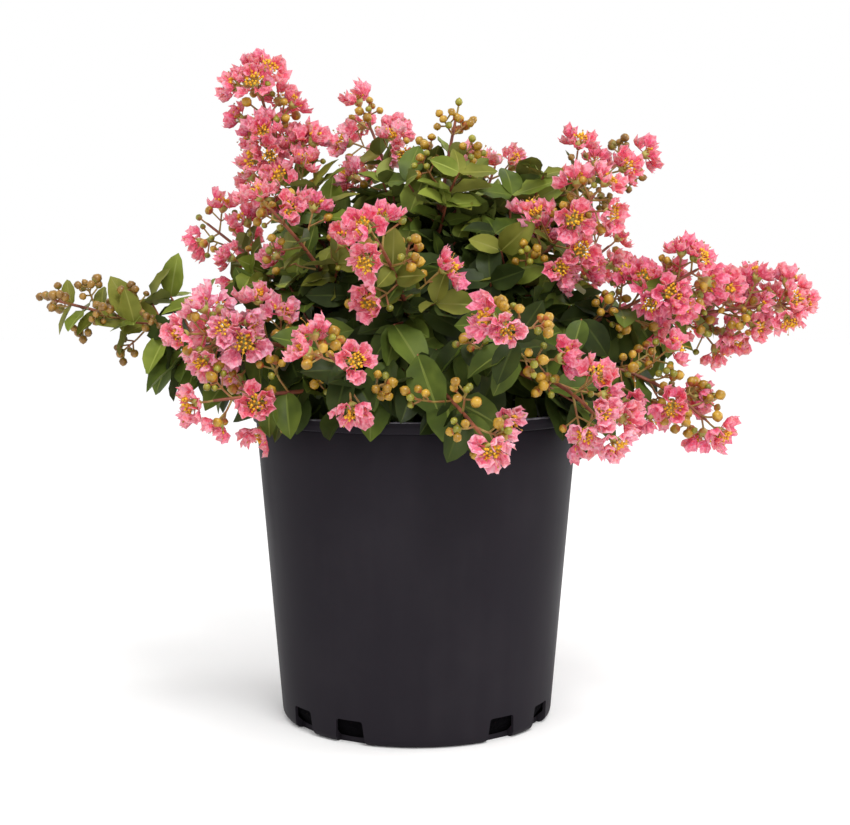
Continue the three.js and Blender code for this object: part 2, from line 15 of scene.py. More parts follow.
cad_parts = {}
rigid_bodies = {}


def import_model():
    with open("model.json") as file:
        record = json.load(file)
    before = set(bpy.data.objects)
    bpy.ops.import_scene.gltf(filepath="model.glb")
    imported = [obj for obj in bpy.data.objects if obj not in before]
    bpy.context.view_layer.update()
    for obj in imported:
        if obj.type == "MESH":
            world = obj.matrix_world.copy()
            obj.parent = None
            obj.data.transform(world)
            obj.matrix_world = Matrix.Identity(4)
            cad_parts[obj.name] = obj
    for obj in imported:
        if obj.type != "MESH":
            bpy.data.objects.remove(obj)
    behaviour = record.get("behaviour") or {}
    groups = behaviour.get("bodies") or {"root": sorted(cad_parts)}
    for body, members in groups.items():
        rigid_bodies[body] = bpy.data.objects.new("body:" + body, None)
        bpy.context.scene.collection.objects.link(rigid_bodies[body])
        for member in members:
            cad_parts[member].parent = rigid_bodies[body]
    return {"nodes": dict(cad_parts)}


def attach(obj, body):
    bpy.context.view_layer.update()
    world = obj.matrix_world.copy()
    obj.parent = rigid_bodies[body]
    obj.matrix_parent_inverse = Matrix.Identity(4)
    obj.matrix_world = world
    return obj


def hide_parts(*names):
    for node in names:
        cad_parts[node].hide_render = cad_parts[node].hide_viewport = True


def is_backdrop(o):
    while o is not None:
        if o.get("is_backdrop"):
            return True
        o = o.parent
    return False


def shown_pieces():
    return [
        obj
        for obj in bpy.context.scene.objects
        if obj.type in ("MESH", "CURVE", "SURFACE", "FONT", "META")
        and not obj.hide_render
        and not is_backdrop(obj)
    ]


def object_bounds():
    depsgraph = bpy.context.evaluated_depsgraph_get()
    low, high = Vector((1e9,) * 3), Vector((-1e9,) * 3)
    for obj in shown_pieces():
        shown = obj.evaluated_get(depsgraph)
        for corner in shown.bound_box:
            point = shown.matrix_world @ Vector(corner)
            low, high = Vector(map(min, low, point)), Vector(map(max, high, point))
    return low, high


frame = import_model()
CAD_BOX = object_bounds()
MM = 0.001
print("nodes in the frame:", len(frame["nodes"]))

# %% [markdown]
# ## Camera
# The pot is round, so its rim and foot show as ellipses, and those fix the camera: a little more
# than a metre away, level with the lower crown and tipped down by under five degrees.

# %% Camera
SENSOR_MM = 36.0
PHOTO_WIDTH = 850
FOCAL_PIXELS = 1496
CAMERA_PLACE = (5.9, -1068.0, 304.0)
CAMERA_PITCH = 4.675


def linked(name, data):
    """An object that shows some data, put in the scene."""
    made = bpy.data.objects.new(name, data)
    bpy.context.collection.objects.link(made)
    return made


camera_data = bpy.data.cameras.new("photo_camera")
camera_data.sensor_width = SENSOR_MM
camera_data.lens = FOCAL_PIXELS / PHOTO_WIDTH * SENSOR_MM
camera = linked("photo_camera", camera_data)
camera.location = Vector(CAMERA_PLACE) * MM
camera.rotation_euler = (math.radians(90 - CAMERA_PITCH), 0, 0)
bpy.context.scene.camera = camera
print("lens in mm:", round(camera_data.lens, 2))

# %% [markdown]
# ## Shader sums
# A finish is a small sum of textures. Writing such sums as node links is hard to read, so one class
# wraps a socket: arithmetic on it adds Math nodes, and node() adds any other node to the same tree.
# The same class builds the geometry trees further down.

# %% Wire: a socket that can be added, scaled and mixed


class Wire:
    """An output socket of a node tree."""

    def __init__(self, tree, socket=None):
        self.tree = tree
        self.socket = socket

    def node(self, kind, settings=None, inputs=None, out=0):
        """Adds a node: its settings first, then the values or links of its sockets."""
        made = self.tree.nodes.new(kind)
        for name, value in (settings or {}).items():
            setattr(made, name, value)
        for key, value in (inputs or {}).items():
            if isinstance(value, Wire):
                self.tree.links.new(value.socket, made.inputs[key])
            else:
                made.inputs[key].default_value = value
        return Wire(self.tree, made.outputs[out])

    def maths(self, operation, first, second):
        return self.node("ShaderNodeMath", {"operation": operation}, {0: first, 1: second})

    def __add__(self, other):
        return self.maths("ADD", self, other)

    __radd__ = __add__

    def __mul__(self, other):
        return self.maths("MULTIPLY", self, other)

    __rmul__ = __mul__

    def clamped(self, low, high):
        """This value spread so that low gives 0 and high gives 1."""
        settings = {"interpolation_type": "SMOOTHSTEP"}
        return self.node("ShaderNodeMapRange", settings, {0: self, 1: low, 2: high})

    def mixed(self, first, second):
        """First colour where this value is 0, second where it is 1."""
        return self.node("ShaderNodeMix", {"data_type": "RGBA"}, {0: self, 6: first, 7: second}, out=2)

    def place(self):
        return self.node("ShaderNodeTexCoord", out="Object")

    def noise(self, scale, detail=3.0, stretch=(1, 1, 1)):
        """Noise on Object coordinates; scale is in lumps to the metre."""
        where = self.node("ShaderNodeMapping", None, {"Vector": self.place(), "Scale": stretch})
        sockets = {"Vector": where, "Scale": scale, "Detail": detail}
        return self.node("ShaderNodeTexNoise", None, sockets)

    def bump(self, strength, distance_mm):
        sockets = {"Height": self, "Strength": strength, "Distance": distance_mm * MM}
        return self.node("ShaderNodeBump", None, sockets)


print("wires can be added, scaled, clamped and mixed")

# %% Colours and finishes


def srgb(red, green, blue):
    """A colour as seen on a screen, 0 to 255, as the linear colour that a shader takes."""
    linear = []
    for value in (red, green, blue):
        share = value / 255
        linear.append(share / 12.92 if share <= 0.04045 else ((share + 0.055) / 1.055) ** 2.4)
    return (*linear, 1.0)


def finish(name, paint, **fixed):
    """A material: fixed shader sockets by name, and those that paint() returns as wires."""
    material = bpy.data.materials.new(name)
    material.use_nodes = True
    tree = material.node_tree
    shader = tree.nodes["Principled BSDF"]
    for socket, value in fixed.items():
        shader.inputs[socket.replace("_", " ")].default_value = value
    for socket, wire in paint(Wire(tree)).items():
        tree.links.new(wire.socket, shader.inputs[socket])
    return material


print("a middle grey as linear colour:", srgb(128, 128, 128))

# %% [markdown]
# ## Light and floor
# The photo is a plain studio cut-out on white. A white room gives the even light, one large soft
# lamp above the right front shapes the crown, and a second at the right edges the pot. The floor
# is a wide pale sheet that glows a little, so that it meets the white room without an edge.

# %% Stage
WHITE = (1, 1, 1, 1)
CROWN_MIDDLE = (0, 0, 0.3)
FLOOR_HALF = 8.0
FLOOR_CORNERS = ((-1, -1), (1, -1), (1, 1), (-1, 1))
FLOOR_BODY = {"Roughness": 0.9, "Specular_IOR_Level": 0.1}
FLOOR_GLOW = {"Emission_Color": WHITE, "Emission_Strength": 0.04}

world = bpy.data.worlds.new("white_room")
world.use_nodes = True
room = world.node_tree.nodes["Background"]
room.inputs["Color"].default_value = WHITE
room.inputs["Strength"].default_value = 1.0
bpy.context.scene.world = world
bpy.context.scene.view_settings.view_transform = "Standard"


def soft_lamp(name, place, aim, width, power):
    data = bpy.data.lights.new(name, "AREA")
    data.size = width
    data.energy = power
    lamp = linked(name, data)
    lamp.location = place
    lamp.rotation_euler = (Vector(aim) - Vector(place)).to_track_quat("-Z", "Y").to_euler()


def floor_paint(wire):
    return {"Base Color": wire.noise(2.0).mixed(srgb(251, 251, 251), srgb(253, 253, 252))}


soft_lamp("key_lamp", (0.4, -1.3, 1.9), CROWN_MIDDLE, width=0.7, power=24)
soft_lamp("edge_lamp", (1.5, 0.2, 0.7), CROWN_MIDDLE, width=0.8, power=6)
floor_mesh = bpy.data.meshes.new("floor")
floor_points = [(x * FLOOR_HALF, y * FLOOR_HALF, 0) for x, y in FLOOR_CORNERS]
floor_mesh.from_pydata(floor_points, [], [(0, 1, 2, 3)])
floor_mesh.materials.append(finish("pale_floor", floor_paint, **FLOOR_BODY, **FLOOR_GLOW))
floor = linked("floor", floor_mesh)
floor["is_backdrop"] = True
print("stage: floor, two lamps, white room")

# %% [markdown]
# ## Meshes from rings
# Many pieces are rings of points skinned into a tube or a turned shape. One helper makes the mesh
# object with smooth shading, and two skin the rings. keep() hands each finished piece to the frame.

# %% Ring helpers


def mesh_object(name, points_mm, faces, material):
    """A smooth mesh object from points in millimetres."""
    mesh = bpy.data.meshes.new(name)
    mesh.from_pydata([tuple(Vector(point) * MM) for point in points_mm], [], faces)
    mesh.materials.append(material)
    mesh.polygons.foreach_set("use_smooth", [True] * len(mesh.polygons))
    mesh.update()
    return linked(name, mesh)


def circle(count):
    """Cosine and sine of equal steps round a circle."""
    angles = [2 * math.pi * step / count for step in range(count)]
    return [(math.cos(angle), math.sin(angle)) for angle in angles]


def ring_faces(first, second, count):
    """Quads between two rings of points, given by the index of each ring's first point."""
    following = [(i + 1) % count for i in range(count)]
    return [(first + i, first + j, second + j, second + i) for i, j in enumerate(following)]


def turned_faces(rings, sides):
    """Faces of a turned shape: a fan at its first point, quads between rings, a fan at its last."""
    last = 1 + (rings - 1) * sides
    faces = [(0, 1 + (i + 1) % sides, 1 + i) for i in range(sides)]
    for ring in range(rings - 1):
        faces += ring_faces(1 + ring * sides, 1 + (ring + 1) * sides, sides)
    return faces + [(last + i, last + (i + 1) % sides, last + sides) for i in range(sides)]


def turned(name, profile, sides, material):
    """A turned solid from (radius, height) pairs that start and end on the axis."""
    points = [(0, 0, profile[0][1])]
    for radius, height in profile[1:-1]:
        points += [(radius * cosine, radius * sine, height) for cosine, sine in circle(sides)]
    points.append((0, 0, profile[-1][1]))
    return mesh_object(name, points, turned_faces(len(profile) - 2, sides), material)


print("faces of a turned shape with two rings of six:", len(turned_faces(2, 6)))

# %% Plain meshes and pieces


def plain_mesh(name, host):
    """The host's evaluated shape as a plain mesh object; the host is removed."""
    graph = bpy.context.evaluated_depsgraph_get()
    shape = host.evaluated_get(graph)
    mesh = bpy.data.meshes.new_from_object(shape, preserve_all_data_layers=True, depsgraph=graph)
    bpy.data.objects.remove(host)
    mesh.name = name
    return linked(name, mesh)


def triangles(piece):
    piece.data.calc_loop_triangles()
    return len(piece.data.loop_triangles)


def keep(piece, slot, *nodes):
    """Puts a finished piece on the object's one body, in place of its solids."""
    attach(piece, "root")
    if nodes:
        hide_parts(*nodes)
    print(piece.name, "-", triangles(piece), "triangles")


print("piece helpers ready")

# %% [markdown]
# ## Pot finish
# A blow-moulded nursery pot is satin black polyethylene. Its skin has a very fine orange peel, faint
# upright flow marks from the mould and a little dust, which greys it and dulls the gloss in patches.
# The lip is painted a paler grey as a painted highlight along the rim, mottled in its grey, gloss and
# relief.

# %% Pot finish
POT_BLACK, POT_DUST = srgb(36, 33, 38), srgb(48, 45, 49)
# Painted highlight: the lip's two pale greys stand in for the line of light along the rounded rim.
LIP_HIGHLIGHT_GREY, LIP_HIGHLIGHT_PALE = srgb(88, 86, 92), srgb(126, 124, 131)


def pot_paint(wire):
    flow = wire.noise(60, 4, stretch=(1, 1, 0.06))
    patches = wire.noise(14, 5)
    peel = wire.noise(900, 2)
    dust = (patches * 0.7 + flow * 0.3).clamped(0.42, 0.72)
    return {
        "Base Color": (dust * 0.4).mixed(POT_BLACK, POT_DUST),
        "Roughness": 0.38 + dust * 0.14 + flow * 0.06,
        "Normal": (peel * 0.5 + flow).bump(0.14, 0.25),
    }


# Painted highlight on the lip, mottled by noise in its grey, gloss and relief.
def lip_highlight_paint(wire):
    lip_mottle = wire.noise(220, 4).clamped(0.3, 0.7)
    return {
        "Base Color": lip_mottle.mixed(LIP_HIGHLIGHT_GREY, LIP_HIGHLIGHT_PALE),
        "Roughness": 0.36 + lip_mottle * 0.2,
        "Normal": lip_mottle.bump(0.2, 0.2),
    }


pot_plastic = finish("pot_plastic", pot_paint, Specular_IOR_Level=0.03)
pot_lip = finish("pot_lip", lip_highlight_paint, Specular_IOR_Level=0.2)
print("finishes:", pot_plastic.name, pot_lip.name)

# %% [markdown]
# ## Pot
# The shell is one turned profile: flat underside, rounded foot, tapered wall, a proud band under the
# rim and a rounded lip, then the inside wall down to the floor. Eight drain slots in four pairs are
# cut through the foot. A turned mesh from its profile keeps the lip smooth, and a Boolean cuts all
# slots at once.

# %% Turned pot shell
POT_HEIGHT, POT_BASE, POT_TOP = 220.0, 96.5, 115.0
RIM_BAND, RIM_PROUD, RIM_ROUND = 8.0, 1.4, 1.0
BAND_CREASE, BAND_STEP, BAND_ROUND, BAND_BULGE = 0.5, 0.4, 0.9, 0.3
POT_WALL, POT_FLOOR, POT_CORNER = 2.2, 2.6, 6.0
UNDERSIDE_RINGS, WALL_FOOT, WALL_HEAD, WALL_GAP = (40, 80), 20, 190, 1.2
POT_SIDES = 160


def pot_radius(height):
    return POT_BASE + (POT_TOP - POT_BASE) * height / POT_HEIGHT


def arc(centre, radius, start, end, steps):
    """Points of an arc in the (radius, height) plane, angles in degrees."""
    angles = np.radians(np.linspace(start, end, steps))
    return [(centre[0] + radius * math.cos(a), centre[1] + radius * math.sin(a)) for a in angles]


def pot_profile():
    band_foot = POT_HEIGHT - RIM_BAND
    band_root = pot_radius(band_foot)
    rim = POT_TOP + RIM_PROUD
    inner_top = pot_radius(POT_HEIGHT) - POT_WALL
    foot_centre = (pot_radius(POT_CORNER) - POT_CORNER, POT_CORNER)
    profile = [(0, 0)] + [(radius, 0) for radius in UNDERSIDE_RINGS]
    profile += arc(foot_centre, POT_CORNER, -90, 0, 7)
    profile += [(pot_radius(h), h) for h in np.linspace(WALL_FOOT, band_foot - WALL_GAP, 9)]
    profile += [(band_root - BAND_CREASE, band_foot - BAND_CREASE), (band_root - BAND_STEP, band_foot)]
    profile += arc((rim - BAND_ROUND, band_foot + BAND_ROUND), BAND_ROUND, -90, 0, 4)
    profile += arc((rim - BAND_BULGE, POT_HEIGHT - RIM_BAND / 2), BAND_BULGE, -20, 20, 3)
    profile += arc((rim - RIM_ROUND, POT_HEIGHT - RIM_ROUND), RIM_ROUND, 0, 90, 5)
    profile += arc((inner_top + RIM_ROUND, POT_HEIGHT - RIM_ROUND), RIM_ROUND, 90, 180, 5)
    profile += [(pot_radius(h) - POT_WALL, h) for h in np.linspace(WALL_HEAD, WALL_FOOT, 6)]
    profile += [(pot_radius(POT_FLOOR + POT_CORNER) - POT_WALL, POT_FLOOR + POT_CORNER)]
    profile += [(pot_radius(POT_FLOOR) - POT_WALL - POT_CORNER, POT_FLOOR), (0, POT_FLOOR)]
    return profile


pot_turned = turned("pot_turned", pot_profile(), POT_SIDES, pot_plastic)
print("pot profile points:", len(pot_profile()))

# %% Drain slots
SLOT_PAIRS, FIRST_PAIR, PAIR_SPREAD = 4, 229.5, 26
SLOT_FOOT, SLOT_HEAD, SLOT_HEIGHT, SLOT_DEPTH, SLOT_ROUND = 23.0, 20.0, 17.0, 7.0, 2


def slot_outline():
    """A trapezoid with rounded upper corners, as (across, height)."""
    across, height = SLOT_HEAD / 2 - SLOT_ROUND, SLOT_HEIGHT - SLOT_ROUND
    left = arc((-across, height), SLOT_ROUND, 170, 90, 4)
    right = arc((across, height), SLOT_ROUND, 90, 10, 4)
    return [(-SLOT_FOOT / 2, -1), *left, *right, (SLOT_FOOT / 2, -1)]


def slot_cutters():
    points, faces = [], []
    outline = slot_outline()
    count = len(outline)
    for pair in range(SLOT_PAIRS):
        for half in (-0.5, 0.5):
            azimuth = math.radians(FIRST_PAIR + 360 / SLOT_PAIRS * pair + half * PAIR_SPREAD)
            out = Vector((math.cos(azimuth), math.sin(azimuth), 0))
            along = Vector((-math.sin(azimuth), math.cos(azimuth), 0))
            first = len(points)
            for reach in (POT_BASE - SLOT_DEPTH, POT_BASE + SLOT_DEPTH):
                points += [out * reach + along * x + Vector((0, 0, z)) for x, z in outline]
            faces += [tuple(range(first, first + count))]
            faces += [tuple(range(first + 2 * count - 1, first + count - 1, -1))]
            faces += [face[::-1] for face in ring_faces(first, first + count, count)]
    return mesh_object("slot_cutters", points, faces, pot_plastic)


cutters = slot_cutters()
print("corners of a slot:", len(slot_outline()))

# %% Cut pot shell
SHARP_FROM = math.radians(38)
LIP_FOOT = POT_HEIGHT - 1.2 * RIM_ROUND

cut = pot_turned.modifiers.new("drain_slots", "BOOLEAN")
cut.operation = "DIFFERENCE"
cut.solver = "EXACT"
cut.object = cutters
pot_shell = plain_mesh("pot_shell", pot_turned)
bpy.data.objects.remove(cutters)
# The second finish is the painted highlight, set on the faces of the lip.
pot_shell.data.materials.append(pot_lip)
for face in pot_shell.data.polygons:
    face.use_smooth = True
    if face.center.z > LIP_FOOT * MM:
        face.material_index = 1
pot_shell.data.set_sharp_from_angle(angle=SHARP_FROM)
keep(pot_shell, "pot", "pot")

# %% [markdown]
# ## Geometry trees
# Leaves, petals, stamens and buds repeat by the hundred, so each is one small shape that a tree
# sets on points. Every point carries its turn, size and which shape it takes. The tree realizes the
# instances and gives each band of a shape its own finish. A second tree sweeps a round section
# along stems whose points carry their thickness.

# %% Parts of a tree


def new_tree(name, inputs):
    """A geometry tree with named inputs; returns the tree, a wire and the input sockets."""
    tree = bpy.data.node_groups.new(name, "GeometryNodeTree")
    tree.interface.new_socket("Geometry", in_out="INPUT", socket_type="NodeSocketGeometry")
    tree.interface.new_socket("Geometry", in_out="OUTPUT", socket_type="NodeSocketGeometry")
    for label, kind in inputs.items():
        tree.interface.new_socket(label, in_out="INPUT", socket_type=kind)
    group = tree.nodes.new("NodeGroupInput")
    wires = {socket.name: Wire(tree, socket) for socket in group.outputs if socket.name}
    return tree, Wire(tree), wires


def end_tree(tree, result):
    leave = tree.nodes.new("NodeGroupOutput")
    tree.links.new(result.socket, leave.inputs[0])
    return tree


def stored(wire, name, kind):
    """The value that a mesh keeps under a name."""
    return wire.node("GeometryNodeInputNamedAttribute", {"data_type": kind}, {"Name": name})


def painted(wire, shape, material, **selection):
    sockets = {"Geometry": shape, "Material": material, **selection}
    return wire.node("GeometryNodeSetMaterial", None, sockets)


def set_on_points(wire, points, box, sockets):
    """Sets the shapes of a collection on points and realizes them."""
    shelf = {"Collection": box, "Separate Children": True, "Reset Children": True}
    shapes = wire.node("GeometryNodeCollectionInfo", None, shelf)
    sockets = {"Points": points, "Instance": shapes, "Pick Instance": True, **sockets}
    spread = wire.node("GeometryNodeInstanceOnPoints", None, sockets)
    return wire.node("GeometryNodeRealizeInstances", None, {"Geometry": spread})


def run_tree(name, host, tree, values):
    """Evaluates a tree on a host, with its inputs set by identifier, and keeps the plain mesh."""
    grower = host.modifiers.new(name, "NODES")
    grower.node_group = tree
    for item in tree.interface.items_tree:
        if item.in_out == "INPUT" and item.name in values:
            grower[item.identifier] = values[item.name]
    made = plain_mesh(name, host)
    for helper in ("turn", "size", "shape", "band", "thickness"):
        if helper in made.data.attributes:
            made.data.attributes.remove(made.data.attributes[helper])
    return made


print("tree helpers ready")

# %% Trees for sprays and stems


def spray_tree(band_count):
    """Sets small shapes on points; each band of their faces, a stored number, has its finish."""
    labels = [f"Finish {band}" for band in range(band_count)]
    inputs = {"Shapes": "NodeSocketCollection", "Size": "NodeSocketFloat"}
    inputs |= {label: "NodeSocketMaterial" for label in labels}
    tree, wire, given = new_tree(f"spray_of_{band_count}_bands", inputs)
    points = wire.node("GeometryNodeMeshToPoints", None, {"Mesh": given["Geometry"]})
    sockets = {
        "Instance Index": stored(wire, "shape", "INT"),
        "Rotation": stored(wire, "turn", "QUATERNION"),
        "Scale": stored(wire, "size", "FLOAT") * given["Size"],
    }
    shape = set_on_points(wire, points, given["Shapes"], sockets)
    band = stored(wire, "band", "INT")
    for number, label in enumerate(labels):
        compared = {"data_type": "INT", "operation": "EQUAL"}
        is_band = wire.node("FunctionNodeCompare", compared, {2: band, 3: number})
        shape = painted(wire, shape, given[label], Selection=is_band)
    return end_tree(tree, shape)


def stem_tree():
    """Sweeps a round section along edges; the points' thickness is its radius."""
    inputs = {"Sides": "NodeSocketInt", "Finish": "NodeSocketMaterial"}
    tree, wire, given = new_tree("stem_sweep", inputs)
    run = wire.node("GeometryNodeMeshToCurve", None, {"Mesh": given["Geometry"]})
    sockets = {"Resolution": given["Sides"], "Radius": 1.0}
    section = wire.node("GeometryNodeCurvePrimitiveCircle", None, sockets)
    thickness = stored(wire, "thickness", "FLOAT")
    sockets = {"Curve": run, "Profile Curve": section, "Scale": thickness, "Fill Caps": True}
    tube = wire.node("GeometryNodeCurveToMesh", None, sockets)
    smooth = wire.node("GeometryNodeSetShadeSmooth", None, {"Geometry": tube})
    return end_tree(tree, painted(wire, smooth, given["Finish"]))


SPRAY_TREES = {bands: spray_tree(bands) for bands in (2, 3)}
STEM_TREE = stem_tree()
print("trees ready:", len(SPRAY_TREES), "for sprays, one for stems")

# %% Hosts: points and paths for the trees


def store(mesh, name, kind, domain, values):
    """Keeps one value for each point, edge or face of a mesh under a name."""
    mesh.attributes.new(name, kind, domain).data.foreach_set("value", values)


def point_host(name, spots):
    """A mesh of loose points from (place in mm, quaternion, size, shape) spots."""
    places, turns, sizes, shapes = zip(*spots)
    mesh = bpy.data.meshes.new(name)
    mesh.from_pydata([tuple(place * MM) for place in places], [], [])
    store(mesh, "turn", "QUATERNION", "POINT", [part for turn in turns for part in turn])
    store(mesh, "size", "FLOAT", "POINT", sizes)
    store(mesh, "shape", "INT", "POINT", shapes)
    return linked(name, mesh)


def path_host(name, runs):
    """A mesh of edge paths from (points in mm, radii in mm) runs."""
    places, edges, radii = [], [], []
    for points, thickness in runs:
        first = len(places)
        places += [tuple(point * MM) for point in points]
        radii += [radius * MM for radius in thickness]
        edges += [(i, i + 1) for i in range(first, len(places) - 1)]
    mesh = bpy.data.meshes.new(name)
    mesh.from_pydata(places, edges, [])
    store(mesh, "thickness", "FLOAT", "POINT", radii)
    return linked(name, mesh)


print("hosts ready")

# %% Boxes of small shapes


def shape_box(name, shapes):
    """A collection of small shapes; their names sort in the order of their numbers."""
    box = bpy.data.collections.new(name)
    for number, (points, faces, bands, sharp) in enumerate(shapes):
        mesh = bpy.data.meshes.new(f"{name}_{number:02d}")
        mesh.from_pydata([tuple(point * MM) for point in points], [], faces)
        mesh.polygons.foreach_set("use_smooth", [True] * len(faces))
        store(mesh, "band", "INT", "FACE", bands)
        if sharp:
            edges = [tuple(sorted(edge.vertices)) for edge in mesh.edges]
            store(mesh, "sharp_edge", "BOOLEAN", "EDGE", [edge in sharp for edge in edges])
        box.objects.link(bpy.data.objects.new(mesh.name, mesh))
    return box


def empty_box(box):
    for shape in list(box.objects):
        bpy.data.objects.remove(shape)
    bpy.data.collections.remove(box)


def spray_piece(name, spots, box, finishes, size=1.0):
    """A piece of small shapes set on spots, with a finish for each band of their faces."""
    values = {"Shapes": box, "Size": size}
    values |= {f"Finish {band}": material for band, material in enumerate(finishes)}
    return run_tree(name, point_host(f"{name}_points", spots), SPRAY_TREES[len(finishes)], values)


print("boxes ready")

# %% [markdown]
# ## Growth rule
# The crown grows by the same rule, the same table and the same seeded numbers as the solids: boughs
# leave the trunk, shoots leave the boughs on smooth curves, and each shoot's end bears opposite
# pairs of stalks. Working in plain vectors keeps the rule readable.

# %% Seeded numbers
SEED_STEP, MULTIPLIER, MODULUS = 7919, 16807, 2147483647


def seeded(seed):
    """Numbers from 0 to 1, the same in every run."""
    state = SEED_STEP * (seed + 1)

    def draw():
        nonlocal state
        state = state * MULTIPLIER % MODULUS
        return state / MODULUS

    return draw


def drawn(draw, least, span):
    """A chance value from its least up to a span more."""
    return least + span * draw()


def jitter(draw, span):
    """A chance value within a span about zero."""
    return span * (draw() - 0.5)


print("first seeded number:", round(seeded(0)(), 4))

# %% Directions
UP = Vector((0, 0, 1))


def place(azimuth, reach, height):
    angle = math.radians(azimuth)
    return Vector((reach * math.cos(angle), reach * math.sin(angle), height))


def heading(azimuth, pitch):
    return place(azimuth, math.cos(math.radians(pitch)), math.sin(math.radians(pitch)))


def nudged(direction, draw, amount):
    """A direction shaken by chance."""
    shake = Vector((draw() - 0.5, draw() - 0.5, draw() - 0.5)) * 2 * amount
    return (direction + shake).normalized()


def cross_frame(tangent, side_hint):
    """Two directions across a tangent, the first as near as can be to a hint."""
    side = (side_hint - tangent * side_hint.dot(tangent)).normalized()
    return side, tangent.cross(side)


def splay(tangent, sides, angle, turn):
    """A direction that leaves a tangent by an angle, turned round it."""
    across = sides[0] * math.cos(math.radians(turn)) + sides[1] * math.sin(math.radians(turn))
    return tangent * math.cos(math.radians(angle)) + across * math.sin(math.radians(angle))


def turn_along(direction, up_hint=UP):
    """The turn that lays a shape made along +X, with +Z as its face, along a direction."""
    direction = direction.normalized()
    across = up_hint.cross(direction).normalized()
    above = direction.cross(across)
    return Matrix((direction, across, above)).transposed().to_quaternion()


print("heading at 45 degrees:", [round(part, 3) for part in heading(0, 45)])

# %% Paths


class Path:
    """A quadratic curve that is read by the share of its length."""

    STEPS = 200

    def __init__(self, start, bend, tip):
        self.start, self.bend, self.tip = start, bend, tip
        points = [self.raw(i / self.STEPS) for i in range(self.STEPS + 1)]
        gaps = [(b - a).length for a, b in zip(points, points[1:])]
        self.sums = np.concatenate([[0], np.cumsum(gaps)])
        self.length = float(self.sums[-1])
        self.side = UP.cross(tip - start).normalized()

    def raw(self, t):
        return self.start * (1 - t) ** 2 + self.bend * (2 * t * (1 - t)) + self.tip * t**2

    def at(self, share):
        """Point, tangent and the two cross directions at a share of the length."""
        steps = np.arange(self.STEPS + 1) / self.STEPS
        t = float(np.interp(share * self.length, self.sums, steps))
        slope = (self.bend - self.start) * (2 * (1 - t)) + (self.tip - self.bend) * (2 * t)
        tangent = slope.normalized()
        return self.raw(t), tangent, cross_frame(tangent, self.side)


straight = Path(Vector((0, 0, 0)), Vector((1, 0, 0)), Vector((2, 0, 0)))
print("length of a straight path of 2:", round(straight.length, 3))

# %% The table of boughs and shoots
# Bough: azimuth, reach and height of its tip, and how high above the trunk's foot it leaves.
# Shoot: its bough, share along it, azimuth, reach and height of its tip, pitch and turn there,
# length of its panicle, share of it in bloom.
BOUGHS = {
    "right": (4, 44, 252, 11),
    "right_low": (326, 42, 241, 11),
    "right_high": (346, 30, 268, 23),
    "top_right": (42, 18, 276, 23),
    "top_left": (138, 20, 276, 23),
    "left": (182, 40, 250, 11),
    "left_low": (222, 40, 240, 11),
    "front": (262, 28, 256, 23),
    "front_low": (286, 42, 240, 11),
    "rear_left": (122, 42, 248, 11),
    "rear_right": (54, 42, 248, 11),
}
SHOOTS = {
    "right_mid": ("right", 1, 349, 196, 318, 30, 0, 90, 0.85),
    "far_right": ("right", 0.75, 2, 266, 294, 4, 0, 95, 0.75),
    "low_right": ("right_low", 1, 341, 206, 217, -42, 0, 85, 0.8),
    "low_right_front": ("right_low", 0.8, 312, 178, 218, -42, 0, 62, 0.85),
    "right_high": ("right_high", 1, 339, 129, 368, 50, 0, 80, 0.85),
    "right_top": ("right_high", 0.8, 17, 166, 400, 18, 0, 78, 0.6),
    "top_spike": ("top_right", 1, 0, 28, 426, 78, 0, 60, 0),
    "top_right": ("top_right", 0.8, 60, 120, 399, 55, 0, 55, 0.5),
    "top_centre": ("top_left", 1, 117, 88, 436, 60, 30, 75, 0.85),
    "top_left": ("top_left", 0.8, 160, 124, 455, 74, 0, 105, 0.8),
    "left_back": ("left", 1, 150, 187, 355, 32, 0, 85, 0.65),
    "left_high": ("left", 0.82, 212, 115, 358, 42, 0, 64, 0.85),
    "far_left": ("left", 0.6, 182, 256, 297, 14, 0, 95, 0),
    "left_front": ("left_low", 1, 218, 176, 276, 4, 0, 78, 0.9),
    "low_left": ("left_low", 0.8, 223, 176, 234, -6, -24, 78, 0.5),
    "centre_left": ("front", 1, 260, 142, 336, 32, -12, 76, 0.5),
    "front_left": ("front", 0.75, 254, 186, 266, 22, 0, 70, 0.45),
    "front_right": ("front_low", 1, 290, 182, 288, 30, -24, 70, 0.5),
    "front_low": ("front_low", 0.8, 283, 182, 216, -26, 12, 62, 0.5),
    "rear_left": ("rear_left", 1, 112, 176, 346, 36, 0, 80, 0.75),
    "low_rear_left": ("rear_left", 0.8, 140, 204, 250, -8, 0, 80, 0.7),
    "rear_right": ("rear_right", 1, 35, 182, 338, 32, 0, 80, 0.75),
    "low_rear_right": ("rear_right", 0.8, 74, 204, 250, -8, 0, 80, 0.7),
}
print("boughs:", len(BOUGHS), "shoots:", len(SHOOTS))

# %% Paths of boughs and shoots
MIX_TOP = POT_HEIGHT - 22.0
TRUNK_FOOT = MIX_TOP + 0.3
BOUGH_ROOT, BOUGH_SAG = 7.2, 0.1
SHOOT_LEAD = 0.55


def bough_path(azimuth, reach, height, from_trunk):
    start = place(azimuth, BOUGH_ROOT, TRUNK_FOOT + from_trunk)
    tip = place(azimuth, reach, height)
    bend = start.lerp(tip, 0.5)
    bend.z -= BOUGH_SAG * (tip.z - start.z)
    return Path(start, bend, tip)


def shoot_path(bough, at, azimuth, reach, height, pitch, turn):
    start = BOUGH_PATHS[bough].at(at)[0]
    tip = place(azimuth, reach, height)
    lead = SHOOT_LEAD * (tip - start).length
    return Path(start, tip - heading(azimuth + turn, pitch) * lead, tip)


